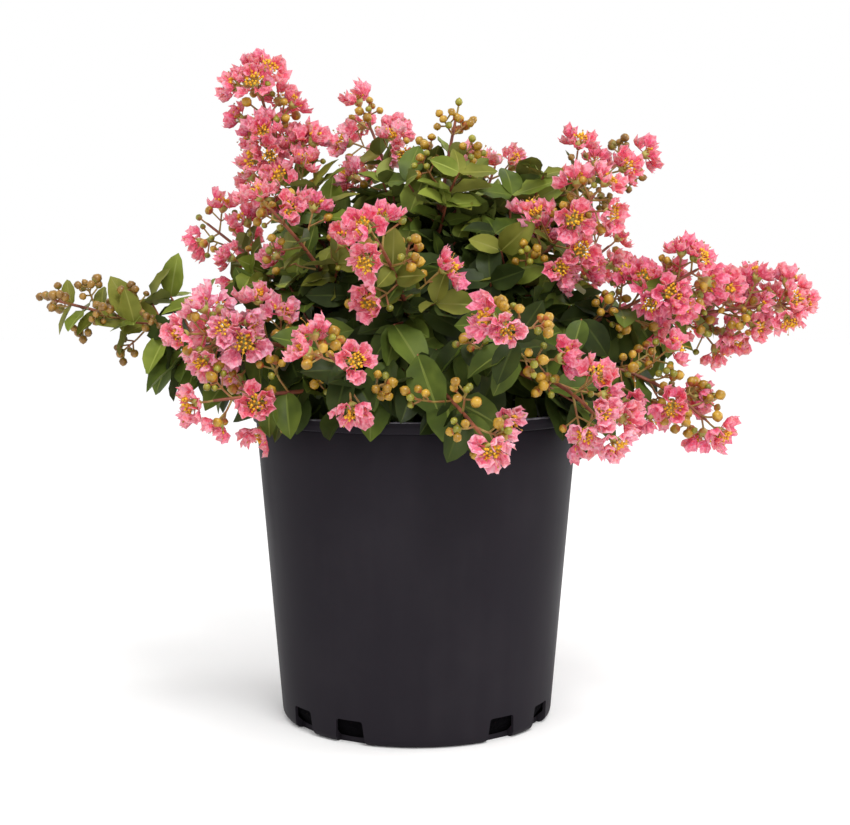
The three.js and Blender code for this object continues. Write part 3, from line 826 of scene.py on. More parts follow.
BOUGH_PATHS = {name: bough_path(*sizes) for name, sizes in BOUGHS.items()}
SHOOT_PATHS = {name: shoot_path(*sizes[:7]) for name, sizes in SHOOTS.items()}
print("length of all shoots in mm:", round(sum(path.length for path in SHOOT_PATHS.values())))

# %% [markdown]
# ## Panicles
# A crape myrtle flowers at the end of each shoot, in a loose cone of stalks that stand in opposite
# pairs. A stalk ends in a bloom or a bud and, finer than the solids show, bears short side stalks
# with heads of their own: one pair under a bloom, three close pairs under a bud. A panicle in full
# bloom has shorter stalks between its pairs. Blooms that would sit in each other stay buds.

# %% Blooms and buds
BLOOM_ROOM, BLOOM_CENTRE = 15.5, 9.0
BLOOM_SIZE, BUD_SIZE, GREEN_BELOW = (0.76, 0.22), (0.52, 0.38), 0.64
HEAD_SHAKE, ROLL_SHAKE = 0.25, 0.8
BUD_SHAPES = 3
RUSSET_SPRAYS = [list(SHOOTS).index(name) for name in ("far_left", "right_top")]
blooms, bloom_centres = [], []
buds = {"ochre": [], "green": [], "russet": []}


def add_head(end, direction, is_open, spray, fine, scale=1.0):
    """A bloom on a stalk's end, or a bud where the bloom has no room."""
    centre = end + direction * BLOOM_CENTRE
    roomy = all((centre - other).length > BLOOM_ROOM for other in bloom_centres)
    facing = turn_along(nudged(direction, fine, HEAD_SHAKE), nudged(UP, fine, ROLL_SHAKE))
    if is_open and roomy:
        bloom_centres.append(centre)
        blooms.append((end, facing, scale * drawn(fine, *BLOOM_SIZE), spray))
        return
    size = drawn(fine, *BUD_SIZE)
    tint = "green" if size < GREEN_BELOW else "ochre"
    if spray in RUSSET_SPRAYS:
        tint = "russet"
    buds[tint].append((end, facing, scale * size, int(fine() * BUD_SHAPES)))


print("numbers of the sprays with russet buds:", RUSSET_SPRAYS)

# %% Stalks with side stalks
FIRST_STALK, LAST_STALK, STALK_SAG = 32, 15, 0.04
SIDE_SPLAY, SIDE_SIZE, SIDE_GAP, SIDE_SHIFT = (48, 20), 0.92, 0.16, 0.06
# Under a bloom and under a bud: where the side stalks leave, and how long they are.
BLOOM_SIDES = ((0.58,), (9, 3.5))
BUD_SIDES = ((0.6, 0.76, 0.92), (3.5, 3.5))
STALK_RADII, SIDE_RADII = [0.85, 0.7, 0.75], [0.6, 0.65]
stalks = []


def add_side_heads(origin, end, direction, is_open, side_bloom, spray, fine):
    sides = cross_frame(direction, UP.cross(direction))
    shares, length = BLOOM_SIDES if is_open else BUD_SIDES
    turn = 360 * fine()
    for share in shares:
        turn += 90
        for half in (0, 180):
            if fine() < SIDE_GAP:
                continue
            root = origin.lerp(end, drawn(fine, share, SIDE_SHIFT))
            way = splay(direction, sides, drawn(fine, *SIDE_SPLAY), turn + half)
            tip = root + way * drawn(fine, *length)
            stalks.append(([root, tip], SIDE_RADII))
            add_head(tip, way, is_open and fine() < side_bloom, spray, fine, SIDE_SIZE)


def add_stalk(origin, direction, length, is_open, side_bloom, spray, fine):
    end = origin + direction * length
    middle = origin.lerp(end, 0.5) + Vector((0, 0, -STALK_SAG * length))
    stalks.append(([origin, middle, end], STALK_RADII))
    add_head(end, direction, is_open, spray, fine)
    if length >= LAST_STALK:
        add_side_heads(origin, end, direction, is_open, side_bloom, spray, fine)


print("side stalks under a bud, at most:", 2 * len(BUD_SIDES[0]))

# %% Panicles along the shoots
STALK_SPACING, TIP_STALK = 21, 7
STALK_SPREAD, SPREAD_JITTER, TURN_JITTER = 58, 16, 40
PAIR_SHIFT, FILL_SHIFT, FILL_SPREAD, FILL_LENGTH = 0.35, 0.8, 50, 0.75
FULL_SPRAYS = ("right_mid", "far_right", "low_right", "right_high", "left_front", "top_left")
SIDE_BLOOM, FULL_SIDE_BLOOM, FILL_BLOOM = 0.08, 0.4, 0.72
SHOOT_RADII, SHOOT_STATIONS, FINE_SEED = [2.1, 1.0], 13, 500
stems = []


def pair_places(path, panicle, shift):
    """For each pair of stalks on a shoot's end: its number, its place on the path, its length."""
    neck = 1 - panicle / path.length
    count = max(2, round(panicle / STALK_SPACING))
    for node in range(count):
        length = FIRST_STALK + (LAST_STALK - FIRST_STALK) * node / (count - 1)
        yield node, path.at(neck + (1 - neck) * (node + shift) / count), length


def grow_panicle(name, number):
    """Pairs of stalks and one at the tip, by the same draws as the solids."""
    path, (*_, panicle, open_share) = SHOOT_PATHS[name], SHOOTS[name]
    random, fine = seeded(number), seeded(FINE_SEED + number)
    side_bloom = FULL_SIDE_BLOOM if name in FULL_SPRAYS else SIDE_BLOOM
    for node, (origin, tangent, sides), length in pair_places(path, panicle, PAIR_SHIFT):
        turn = node * 90 + jitter(random, TURN_JITTER)
        for half in (0, 180):
            spread = STALK_SPREAD + jitter(random, SPREAD_JITTER)
            is_open = random() < open_share
            way = splay(tangent, sides, spread, turn + half)
            add_stalk(origin, way, length, is_open, side_bloom, number, fine)
    tip, tangent, _ = path.at(1)
    add_stalk(tip, tangent, TIP_STALK, random() < open_share, side_bloom, number, fine)
    if name in FULL_SPRAYS:
        fill_panicle(path, panicle, FILL_BLOOM * open_share, number, fine)


def fill_panicle(path, panicle, open_share, number, fine):
    """Shorter pairs between the pairs of a panicle in full bloom."""
    for node, (origin, tangent, sides), length in pair_places(path, panicle, FILL_SHIFT):
        turn = node * 90 + 45 + jitter(fine, TURN_JITTER)
        for half in (0, 180):
            way = splay(tangent, sides, drawn(fine, FILL_SPREAD, SPREAD_JITTER), turn + half)
            is_open = fine() < open_share
            add_stalk(origin, way, FILL_LENGTH * length, is_open, FULL_SIDE_BLOOM, number, fine)


def add_shoot_stem(path):
    shares = np.linspace(0, 1, SHOOT_STATIONS)
    radii = np.interp(shares, [0, 1], SHOOT_RADII)
    stems.append(([path.at(share)[0] for share in shares], list(radii)))


for shoot_number, shoot_name in enumerate(SHOOTS):
    add_shoot_stem(SHOOT_PATHS[shoot_name])
    grow_panicle(shoot_name, shoot_number)
print("blooms:", len(blooms), "stalks:", len(stalks))
print("buds:", {tint: len(spots) for tint, spots in buds.items()})

# %% [markdown]
# ## Leaves
# Leaves stand in opposite pairs along the leafy part of each shoot, and on short side twigs between
# the pairs. They splay out, tip their faces to the sky, and are skipped where they would cut the
# pot, the mix or a bloom, or crowd another leaf. Near the rim they are larger and hang over it. Their
# colour depends on their place: a darker green as painted shade in the middle of the crown, a paler
# green as painted light outside, and yellow-green near the tips.

# %% Room for a leaf
LEAF_ROOM, HANGING_ROOM, BLOOM_CLEAR = 7.0, 9.5, 9.0
RIM_CLEAR, WALL_CLEAR, MIX_CLEAR, INSIDE_CLEAR = 3, 4, 4, 12
HANGING_TOP, HANGING_FROM, HANGING_TO = POT_HEIGHT + 72, 0.7 * POT_TOP, 1.6 * POT_TOP
LEAF_STATIONS, LEAF_MIDDLE, LEAF_SAG = np.linspace(0.2, 1, 9), 0.6, 0.2
OPENING, OPENING_TOP = (-68, -40), POT_HEIGHT + 46
leaf_middles = []


def hangs(root):
    """Low leaves near the rim are large and hang over it."""
    return root.z < HANGING_TOP and HANGING_FROM < math.hypot(root.x, root.y) < HANGING_TO


def clear_of_pot(point):
    """Whether a point is above the rim, well outside the wall, or inside and above the mix."""
    reach = math.hypot(point.x, point.y)
    above = point.z > POT_HEIGHT + RIM_CLEAR
    outside = reach > pot_radius(point.z) + RIM_PROUD + WALL_CLEAR
    inside = reach < POT_TOP - INSIDE_CLEAR and point.z > MIX_TOP + MIX_CLEAR
    return above or outside or inside


def in_opening(point):
    """The right front just above the rim is open: there one looks into the dark under the crown."""
    angle = math.degrees(math.atan2(point.y, point.x))
    return OPENING[0] < angle < OPENING[1] and point.z < OPENING_TOP


def has_room(root, direction, length):
    """Whether a leaf stays clear of the pot, straight or sagging, of blooms and of other leaves."""
    along = [root + direction * (length * share) for share in LEAF_STATIONS]
    falls = [LEAF_SAG * length * share**2 for share in LEAF_STATIONS]
    sagged = [point - UP * fall for point, fall in zip(along, falls)]
    if not all(clear_of_pot(point) for point in along + sagged):
        return False
    outer = along[3::2]
    if any((point - centre).length < BLOOM_CLEAR for centre in bloom_centres for point in outer):
        return False
    middle = root + direction * (length * LEAF_MIDDLE)
    room = HANGING_ROOM if hangs(root) else LEAF_ROOM
    return not in_opening(middle) and all((middle - other).length > room for other in leaf_middles)


print("stations at which a leaf is tried:", len(LEAF_STATIONS))

# %% Tint and face of a leaf
# How deep a leaf sits in the crown sets its painted light: inner leaves take a darker green as painted
# shade, outer ones a paler green as painted light.
CROWN_CENTRE, CROWN_RADII = Vector((0, 0, 205)), (190, 175, 200)
PAINTED_SHADE_TO, MID_TO, DEPTH_JITTER = 0.7, 0.86, 0.3
YOUNG_FROM, YOUNG_CHANCE, HANGING_MID = 0.8, 0.6, 0.5
LIGHT_SIDE, FACE_UP, FACE_OUT, FACE_LIGHT = Vector((0, -1, 0)), 0.7, 0.5, 0.5
leaves = {"deep": [], "mid": [], "bright": [], "young": []}


def tint_of(middle, youth, fine):
    """A darker green as painted shade in the middle of the crown, a paler one as painted light outside,
    young near a tip, mid or painted shade at the rim.
    """
    chance = fine()
    if hangs(middle):
        return "mid" if chance < HANGING_MID else "deep"
    if youth > YOUNG_FROM and chance < YOUNG_CHANCE:
        return "young"
    shares = [part / radius for part, radius in zip(middle - CROWN_CENTRE, CROWN_RADII)]
    depth = Vector(shares).length + jitter(fine, DEPTH_JITTER)
    if depth < PAINTED_SHADE_TO:
        return "deep"
    return "mid" if depth < MID_TO else "bright"


def sunward(root):
    """Leaves turn their faces up, out of the crown and to the side that had the light."""
    outward = Vector((root.x, root.y, 0)).normalized()
    return UP * FACE_UP + outward * FACE_OUT + LIGHT_SIDE * FACE_LIGHT


print("tints of leaves:", list(leaves))

# %% One leaf
LEAF_LENGTH, HANGING_SIZE = (24, 18), 1.3
LEAF_SPLAY, FACING_SHAKE, LEAF_SHAPES = (50, 26), 0.62, 6
NOD, HANGING_DROOP = 0.3, (0.8, 1.1)
# Each try: a turn off the leaf's place in its pair, and a share of its droop.
LEAF_TRIES = ((0, 1.0), (30, 1.0), (-30, 1.0), (60, 0.5), (-60, 0.5))


def droop_of(root, fine):
    """How far a leaf falls: the hanging ones far, the others only nod."""
    nod = NOD * fine()
    return nod + drawn(fine, *HANGING_DROOP) if hangs(root) else nod


def add_leaf(root, tangent, sides, turn, share, youth, fine):
    """One leaf of a share of the usual length, if one of a few turns has room for it."""
    length = drawn(fine, *LEAF_LENGTH) * share
    length *= HANGING_SIZE if hangs(root) else 1.0
    for offset, ease in LEAF_TRIES:
        direction = splay(tangent, sides, drawn(fine, *LEAF_SPLAY), turn + offset)
        direction = (direction - UP * ease * droop_of(root, fine)).normalized()
        if not has_room(root, direction, length):
            continue
        facing = turn_along(direction, nudged(sunward(root), fine, FACING_SHAKE))
        middle = root + direction * (length * LEAF_MIDDLE)
        leaf_middles.append(middle)
        tint = tint_of(middle, youth, fine)
        leaves[tint].append((root, facing, length, int(fine() * LEAF_SHAPES)))
        return True
    return False


print("turns tried for a leaf:", len(LEAF_TRIES))

# %% Leafy twigs
TWIG_LENGTH, TWIG_SHARE, TWIG_SPLAY, TWIG_RISE = 34.0, (0.7, 0.6), (46, 14), 0.25
TWIG_TURN_JITTER, TWIG_TAPER = 20, 0.2
TWIG_LEAVES = ((0.5, 0), (0.5, 180), (1.0, 0), (1.0, 180), (1.0, 90))
TWIG_RADII = [1.1, 0.9, 0.7]


def add_leafy_twig(origin, tangent, sides, turn, youth, fine):
    """A side twig with two pairs of leaves and one at its end, cut back to its last leaf."""
    direction = splay(tangent, sides, drawn(fine, *TWIG_SPLAY), turn)
    direction = (direction + UP * TWIG_RISE).normalized()
    end = origin + direction * (TWIG_LENGTH * drawn(fine, *TWIG_SHARE))
    if not all(clear_of_pot(origin.lerp(end, share)) for share in (0.5, 1.0)):
        return
    twig_sides = cross_frame(direction, UP.cross(direction))
    reached = 0
    for share, half in TWIG_LEAVES:
        root = origin.lerp(end, share)
        leaf_turn = jitter(fine, TWIG_TURN_JITTER) + half
        leaf_share = 1 - TWIG_TAPER * share
        if add_leaf(root, direction, twig_sides, leaf_turn, leaf_share, youth, fine):
            reached = share
    if reached:
        tip = origin.lerp(end, reached)
        stems.append(([origin, origin.lerp(tip, 0.5) + UP, tip], TWIG_RADII))


print("leaves tried on a twig:", len(TWIG_LEAVES))

# %% Leaves along boughs and shoots
LEAF_STEP, INNER_STEP, INNER_TO = 11.0, 12.5, 0.4
LUSH_HEIGHT, LUSH_STEP, TWIGS_TO = 330, 0.8, 0.9
LEAF_SEED, BOUGH_SEED, LEAF_TURN_JITTER = 900, 100, 50
FOOT_LEAF, LEAF_TAPER, PANICLE_LEAF = 1.1, 0.25, 0.7
BUD_SPRAYS = ("far_left",)
BOUGH_BARE, SHOOT_BARE = 22, 6
# Shares of a panicle's length, from its tip: where leaves end, and where full leaves end.
FULL_BARE, USUAL_BARE, BUD_BARE = 0.55, 0.4, 0.1
USUAL_NECK, BUD_NECK = 1.0, 0.6


def grow_leaves(path, start_mm, neck_mm, end_mm, number, lush=False):
    """Pairs of leaves to the neck, with twigs between; small leaves from there to the end.

    A lush shoot has closer pairs, and twigs at every pair, another one at every second pair.
    """
    fine = seeded(LEAF_SEED + number)
    distance = start_mm
    node = 0
    while distance < end_mm:
        origin, tangent, sides = path.at(distance / path.length)
        youth = distance / neck_mm
        turn = node * 90 + jitter(fine, LEAF_TURN_JITTER)
        share = FOOT_LEAF - LEAF_TAPER * youth if youth < 1 else PANICLE_LEAF
        for half in (0, 180):
            add_leaf(origin, tangent, sides, turn + half, share, youth, fine)
        if youth < TWIGS_TO and (node % 2 or lush):
            for half in (60, 240):
                add_leafy_twig(origin, tangent, sides, turn + half, youth, fine)
        distance += (LUSH_STEP if lush else 1.0) * (INNER_STEP if youth < INNER_TO else LEAF_STEP)
        node += 1


for bough_number, bough in enumerate(BOUGH_PATHS.values()):
    grow_leaves(bough, BOUGH_BARE, bough.length, bough.length, BOUGH_SEED + bough_number)
for shoot_number, shoot_name in enumerate(SHOOTS):
    shoot, panicle = SHOOT_PATHS[shoot_name], SHOOTS[shoot_name][7]
    lush = SHOOTS[shoot_name][4] >= LUSH_HEIGHT
    bare_share, neck_share = USUAL_BARE, USUAL_NECK
    if shoot_name in FULL_SPRAYS:
        bare_share = FULL_BARE
    if shoot_name in BUD_SPRAYS:
        bare_share, neck_share = BUD_BARE, BUD_NECK
    neck, leafy_end = shoot.length - panicle * neck_share, shoot.length - panicle * bare_share
    grow_leaves(shoot, SHOOT_BARE, neck, leafy_end, shoot_number, lush)
print("leaves:", {tint: len(spots) for tint, spots in leaves.items()})

# %% [markdown]
# ## Thin blades
# Leaves and petals are thin and seen from both sides. Each is made as an upper and a lower skin that
# share their margin, so it is a closed mesh of a few dozen faces with a true thickness. Both skins
# start their faces at the same corner, so that they split along the same diagonal and never cross.
# Margin edges are marked sharp, or smooth shading would run round them and darken both faces.

# %% Thin blade and thread
# A direction that no thread runs along, from which its corners are counted.
THREAD_SIDE = Vector((0.31, 0.7, 0.64))


def thin_blade(shape, rows, columns, surface, gap, band_of):
    """Adds a closed blade to a shape; surface(row, column) gives its middle, in millimetres."""
    points, faces, bands, sharp = shape
    last_row, last_column = len(rows) - 1, len(columns) - 1
    index = {}
    for skin, lift in ((0, gap), (1, -gap)):
        for i, row in enumerate(rows):
            for j, column in enumerate(columns):
                margin = i in (0, last_row) or j in (0, last_column)
                if margin and skin:
                    index[1, i, j] = index[0, i, j]
                    continue
                index[skin, i, j] = len(points)
                points.append(surface(row, column) + UP * (0 if margin else lift))
    for skin in (0, 1):
        for i in range(last_row):
            for j in range(last_column):
                corners = ((i, j), (i + 1, j), (i + 1, j + 1), (i, j + 1))
                a, b, c, d = (index[skin, *corner] for corner in corners)
                faces.append((a, b, c, d) if skin == 0 else (a, d, c, b))
                bands.append(band_of(skin, i, j))
    border = [(i, 0) for i in range(last_row)] + [(last_row, j) for j in range(last_column)]
    border += [(i, last_column) for i in range(last_row, 0, -1)]
    border += [(0, j) for j in range(last_column, -1, -1)]
    round_trip = [index[0, i, j] for i, j in border]
    sharp |= {tuple(sorted(pair)) for pair in zip(round_trip, round_trip[1:])}


def add_thread(shape, spine, radii, band, sides=3):
    """Adds a thin closed tube along a spine to a shape."""
    points, faces, bands, _ = shape
    first = len(points)
    side, over = cross_frame((spine[-1] - spine[0]).normalized(), THREAD_SIDE)
    for centre, radius in zip(spine, radii):
        points += [centre + (side * cosine + over * sine) * radius for cosine, sine in circle(sides)]
    last = first + (len(spine) - 1) * sides
    tube = [face for ring in range(first, last, sides) for face in ring_faces(ring, ring + sides, sides)]
    tube += [tuple(range(first + sides - 1, first - 1, -1)), tuple(range(last, last + sides))]
    faces += tube
    bands += [band] * len(tube)


print("blade and thread helpers ready")

# %% [markdown]
# ## Bark, stem and stalk finishes
# Old wood at the foot is grey-brown and flakes to paler, smoother patches. This year's stems are
# reddish brown, and the flower stalks run from red-brown to ochre green. Most small parts of a plant
# are two near colours in soft lumps under a fine grain, so one function makes such paints.

# %% Wood finishes


def bark_paint(wire):
    flakes = wire.noise(75, 4, stretch=(1, 1, 0.45)).clamped(0.44, 0.6)
    grain = wire.noise(700, 3, stretch=(1, 1, 0.2))
    colour = flakes.mixed(srgb(104, 66, 48), srgb(158, 122, 92))
    return {
        "Base Color": (grain * 0.5).mixed(colour, srgb(76, 46, 34)),
        "Roughness": 0.62 + grain * 0.25,
        "Normal": (grain + flakes * 0.8).bump(0.4, 0.6),
    }


def two_tone(dark, light, lumps, grain, roughness, bump):
    """Paint of two colours in lumps, with a grain in its gloss and its relief.

    lumps: scale, detail, low, high. grain: scale, detail. roughness: least, span. bump: strength, mm.
    """

    def paint(wire):
        scale, detail, low, high = lumps
        lump = wire.noise(scale, detail).clamped(low, high)
        relief = wire.noise(*grain)
        return {
            "Base Color": lump.mixed(srgb(*dark), srgb(*light)),
            "Roughness": roughness[0] + relief * roughness[1],
            "Normal": relief.bump(*bump),
        }

    return paint


def speckled(dark, light, scale, roughness, bump_mm=0.15):
    """Paint for small plant parts; scale is in lumps to the metre."""
    lumps, grain = (scale, 3, 0.34, 0.68), (scale * 9, 2)
    return two_tone(dark, light, lumps, grain, (roughness - 0.06, 0.12), (0.25, bump_mm))


bark = finish("bark_skin", bark_paint)
stem_skin = finish("stem_skin", speckled((112, 54, 38), (150, 84, 56), 120, 0.55))
stalk_skin = finish("stalk_skin", speckled((140, 84, 48), (152, 132, 62), 150, 0.55))
print("finishes:", bark.name, stem_skin.name, stalk_skin.name)

# %% [markdown]
# ## Trunk and boughs
# The trunk is a short knuckle with a root flare, and the boughs leave it like the fingers of a hand.
# Each limb is a tube of rings whose points are pushed in and out by noise: long furrows, flakes and
# a swelling where a bough leaves the trunk.

# %% Rings with bark relief
LIMB_SIDES, FULL_RELIEF_FROM = 22, 4
# Waves to the millimetre, across and along a limb.
FURROW_WAVES, FLAKE_WAVES = (0.3, 0.07), (0.55, 0.25)
FLAKE_OFFSET, FLAKE_SHARE = 40, 0.6


def rough(point, amount):
    """How far the bark stands out at a point: long furrows and finer flakes."""
    across, along = FURROW_WAVES
    furrow = noise.noise(Vector((point.x * across, point.y * across, point.z * along)))
    across, along = FLAKE_WAVES
    height = point.z * along + FLAKE_OFFSET
    flake = noise.noise(Vector((point.x * across, point.y * across, height)))
    return amount * (furrow + FLAKE_SHARE * flake)


def limb_ring(centre, tangent, radius, side_hint, relief):
    """One ring of a limb, pushed in and out; thin limbs have less relief."""
    side, over = cross_frame(tangent, side_hint)
    ring = []
    for cosine, sine in circle(LIMB_SIDES):
        out = side * cosine + over * sine
        point = centre + out * radius
        ring.append(point + out * rough(point, relief * min(1.0, radius / FULL_RELIEF_FROM)))
    return ring


print("bark stands out at a test point by:", round(rough(Vector((9, 4, 210)), 1), 3))

# %% Trunk and boughs
TRUNK_RELIEF, BOUGH_RELIEF = 1.3, 0.7
BOUGH_RINGS, BOUGH_RADII, SWELLING, SWELL_FADE = 22, (3.2, 2.2), 1.6, 9
# Reach, wave and start of the sway in x and in y.
TRUNK_SWAY = ((0.6, 9, 0), (0.5, 7, 1))
# Height above the trunk's foot, and radius.
TRUNK_RINGS = [(0, 18.4), (1.5, 17.2), (3, 15.3), (6, 13.2), (10, 11.8), (15, 11.1)]
TRUNK_RINGS += [(20, 10.5), (25, 10.0), (29, 8.6), (31.5, 5.0)]
limb_points, limb_faces = [], []


def add_limb(rings):
    """Skins rings into a closed limb with fan ends."""
    first = len(limb_points)
    for ring in rings:
        limb_points.extend(ring)
    last = len(limb_points) - LIMB_SIDES
    for start in range(first, last, LIMB_SIDES):
        limb_faces.extend(ring_faces(start, start + LIMB_SIDES, LIMB_SIDES))
    for start, ring, flip in ((first, rings[0], True), (last, rings[-1], False)):
        limb_points.append(sum(ring, Vector()) / LIMB_SIDES)
        for i in range(LIMB_SIDES):
            face = (start + i, start + (i + 1) % LIMB_SIDES, len(limb_points) - 1)
            limb_faces.append(face[::-1] if flip else face)


def trunk_ring(height, radius):
    """One ring of the trunk, which sways a little as it rises."""
    x, y = (reach * math.sin(height / wave + start) for reach, wave, start in TRUNK_SWAY)
    centre = Vector((x, y, TRUNK_FOOT + height))
    return limb_ring(centre, UP, radius, Vector((1, 0, 0)), TRUNK_RELIEF)


def bough_ring(path, share):
    """One ring of a bough, swollen where it leaves the trunk."""
    centre, tangent, _ = path.at(share)
    radius = BOUGH_RADII[0] + (BOUGH_RADII[1] - BOUGH_RADII[0]) * share
    swollen = radius + SWELLING * math.exp(-share * SWELL_FADE)
    return limb_ring(centre, tangent, swollen, path.side, BOUGH_RELIEF)


add_limb([trunk_ring(*sizes) for sizes in TRUNK_RINGS])
for path in BOUGH_PATHS.values():
    add_limb([bough_ring(path, share) for share in np.linspace(0, 1, BOUGH_RINGS)])
woody_limbs = mesh_object("woody_limbs", limb_points, limb_faces, bark)
keep(woody_limbs, "bark", "trunk", *[f"bough_{name}" for name in BOUGHS])

# %% Stems and stalks
STEM_LOOKS = {"Sides": 7, "Finish": stem_skin}
STALK_LOOKS = {"Sides": 5, "Finish": stalk_skin}
keep(run_tree("shoot_stems", path_host("stem_paths", stems), STEM_TREE, STEM_LOOKS), "bark")
keep(run_tree("flower_stalks", path_host("stalk_paths", stalks), STEM_TREE, STALK_LOOKS), "bark")

# %% [markdown]
# ## Leaf shapes
# A crape myrtle leaf is broad and elliptic, with a short point, a pale midrib and almost no stalk. Its
# blade is folded a little along the rib, arched along its length and waved at the margin. Six shapes
# differ in fold, arch and twist, so that no two neighbours look alike.

# %% Leaf blade
LEAF_ROWS = (0.0, 0.08, 0.2, 0.36, 0.54, 0.72, 0.88, 1.0)
LEAF_COLUMNS = (-1.0, -0.55, -0.07, 0.07, 0.55, 1.0)
LEAF_TOP, LEAF_UNDER, LEAF_RIB = 0, 1, 2
UNIT_LEAF, LEAF_HALF_GAP = 1000.0, 5.0
LEAF_HALF_WIDTH, STALK_HALF_WIDTH, TIP_HALF_WIDTH, BELLY_FULLNESS = 0.285, 0.014, 0.006, 0.7
RIPPLE_RATE, RIPPLE_LEAN, ARCH_SHORTENS = 15, 2, 0.12


def leaf_half_width(share, belly):
    ends = STALK_HALF_WIDTH + (TIP_HALF_WIDTH - STALK_HALF_WIDTH) * share
    return ends + LEAF_HALF_WIDTH * max(0.0, math.sin(math.pi * share**belly)) ** BELLY_FULLNESS


def leaf_shape(fold, arch, twist, wave, bend, belly):
    """A blade one metre long; each leaf scales it to its own length."""

    def surface(share, across):
        half = leaf_half_width(share, belly)
        y = half * across
        ripple = wave * half * across**2 * math.sin(share * RIPPLE_RATE + RIPPLE_LEAN * across)
        z = fold * abs(y) - arch * share**2 + twist * y * share + ripple
        x = share * (1 - ARCH_SHORTENS * arch)
        return Vector((x, y + bend * share**2, z)) * UNIT_LEAF

    def band_of(skin, row, column):
        return LEAF_RIB if column == len(LEAF_COLUMNS) // 2 - 1 else (LEAF_TOP, LEAF_UNDER)[skin]

    shape = ([], [], [], set())
    thin_blade(shape, LEAF_ROWS, LEAF_COLUMNS, surface, LEAF_HALF_GAP, band_of)
    return shape


# fold, arch, twist, wave, sideways bend, belly
LEAF_LOOKS = [
    (0.28, 0.10, 0.0, 0.10, 0.00, 0.86),
    (0.40, 0.22, 0.25, 0.14, 0.03, 0.92),
    (0.16, 0.30, -0.2, 0.18, -0.03, 0.82),
    (0.50, 0.05, 0.15, 0.12, 0.04, 0.88),
    (0.30, 0.18, -0.3, 0.20, -0.05, 0.96),
    (0.22, -0.06, 0.1, 0.16, 0.02, 0.84),
]
leaf_box = shape_box("leaf_shape", [leaf_shape(*look) for look in LEAF_LOOKS])

# %% Leaf finishes and pieces
# Upper skin (dark, light), under skin (dark, light), midrib.
# The darkest greens are painted shade for leaves inside the crown, the palest are painted light for
# leaves on its outside.
LEAF_COLOURS = {
    "deep": ((36, 46, 18), (56, 68, 28), (54, 63, 30), (66, 75, 37), (60, 72, 30)),
    "mid": ((61, 75, 27), (94, 109, 42), (93, 104, 48), (110, 120, 58), (100, 115, 46)),
    "bright": ((94, 107, 36), (135, 146, 60), (117, 129, 62), (138, 147, 76), (141, 151, 66)),
    "young": ((90, 94, 30), (128, 129, 54), (112, 117, 55), (133, 134, 69), (132, 131, 58)),
}
FOLIAGE_NODES = sorted(name for name in frame["nodes"] if name.startswith("foliage_"))


def leaf_skin(dark, light):
    """Upper skin: two greens in wide lumps, and a quilted sheen."""
    return two_tone(dark, light, (34, 3, 0.32, 0.68), (260, 2), (0.36, 0.14), (0.3, 0.4))


for tint, spots in leaves.items():
    dark, light, under_dark, under_light, rib = LEAF_COLOURS[tint]
    under_skin = speckled(under_dark, under_light, 40, 0.62, 0.2)
    rib_skin = speckled(under_light, rib, 60, 0.5, 0.1)
    finishes = [
        finish(f"leaf_{tint}_top", leaf_skin(dark, light), Specular_IOR_Level=0.12),
        finish(f"leaf_{tint}_under", under_skin, Specular_IOR_Level=0.1),
        finish(f"leaf_{tint}_rib", rib_skin, Specular_IOR_Level=0.1),
    ]
    piece = spray_piece(f"leaves_{tint}", spots, leaf_box, finishes, MM)
    keep(piece, "foliage", *(FOLIAGE_NODES if tint == "mid" else []))
empty_box(leaf_box)

# %% [markdown]
# ## Bloom shapes
# Six petals stand on thin claws round a green cup. Each blade is kidney-shaped and its margin is cut
# into small lobes that pleat up and down in turn, which gives the flower its crape look. Ten petals
# are made, with their own pleats and curl, and every bloom deals six of them with its own lift and roll.

# %% Frill of a petal
LOBES, LOBE_COLUMNS = 9, 2
PETAL_COLUMNS = LOBES * LOBE_COLUMNS + 1
NOTCH_DEPTH, LOBE_REACH, PLEAT_HEIGHT, VALLEY_HEIGHT = 0.075, 0.08, 2.0, 1.2
# Chance in a notch, a pleat and the middle of its lobe: least and span.
NOTCH_CHANCE, PLEAT_CHANCE, LOBE_CHANCE, REACH_JITTER = (0.3, 1.2), (0.4, 1.1), (0.8, 0.4), 0.05


def frill(draw):
    """For each column of a petal: how far its margin is notched, and how far a pleat lifts it."""
    notched, lifted = [], []
    for column in range(PETAL_COLUMNS):
        lobe, step = divmod(column, LOBE_COLUMNS)
        if step == 0:
            notched.append(-NOTCH_DEPTH * drawn(draw, *NOTCH_CHANCE))
            lifted.append(jitter(draw, VALLEY_HEIGHT))
            reach, lift = jitter(draw, LOBE_REACH), PLEAT_HEIGHT * drawn(draw, *PLEAT_CHANCE)
        else:
            notched.append(reach + jitter(draw, REACH_JITTER))
            lifted.append((lift if lobe % 2 else -lift) * drawn(draw, *LOBE_CHANCE))
    return notched, lifted


print("columns of a petal:", PETAL_COLUMNS)

# %% Petal shapes
PETAL_SHAPES, PETAL_SHAPE_SEED = 10, 40
CLAW_BAND, BLADE_BAND, FRILL_BAND = 0, 1, 2
PETAL_ROWS = (0.12, 0.6, 1.0)
PETAL_SPAN, PETAL_HALF_GAP = 100.0, 0.12
CLAW_LENGTH, CLAW_RADII, BLADE_LENGTH = 6.0, [0.4, 0.6], 10.5
KIDNEY_WAIST, KIDNEY_SWELL = 0.46, 0.54
# Span, and the share of it that bends a petal back.
PETAL_CURL, PETAL_CUP, PETAL_LEAN = (12, 0.4), (9, 0.3), 0.5


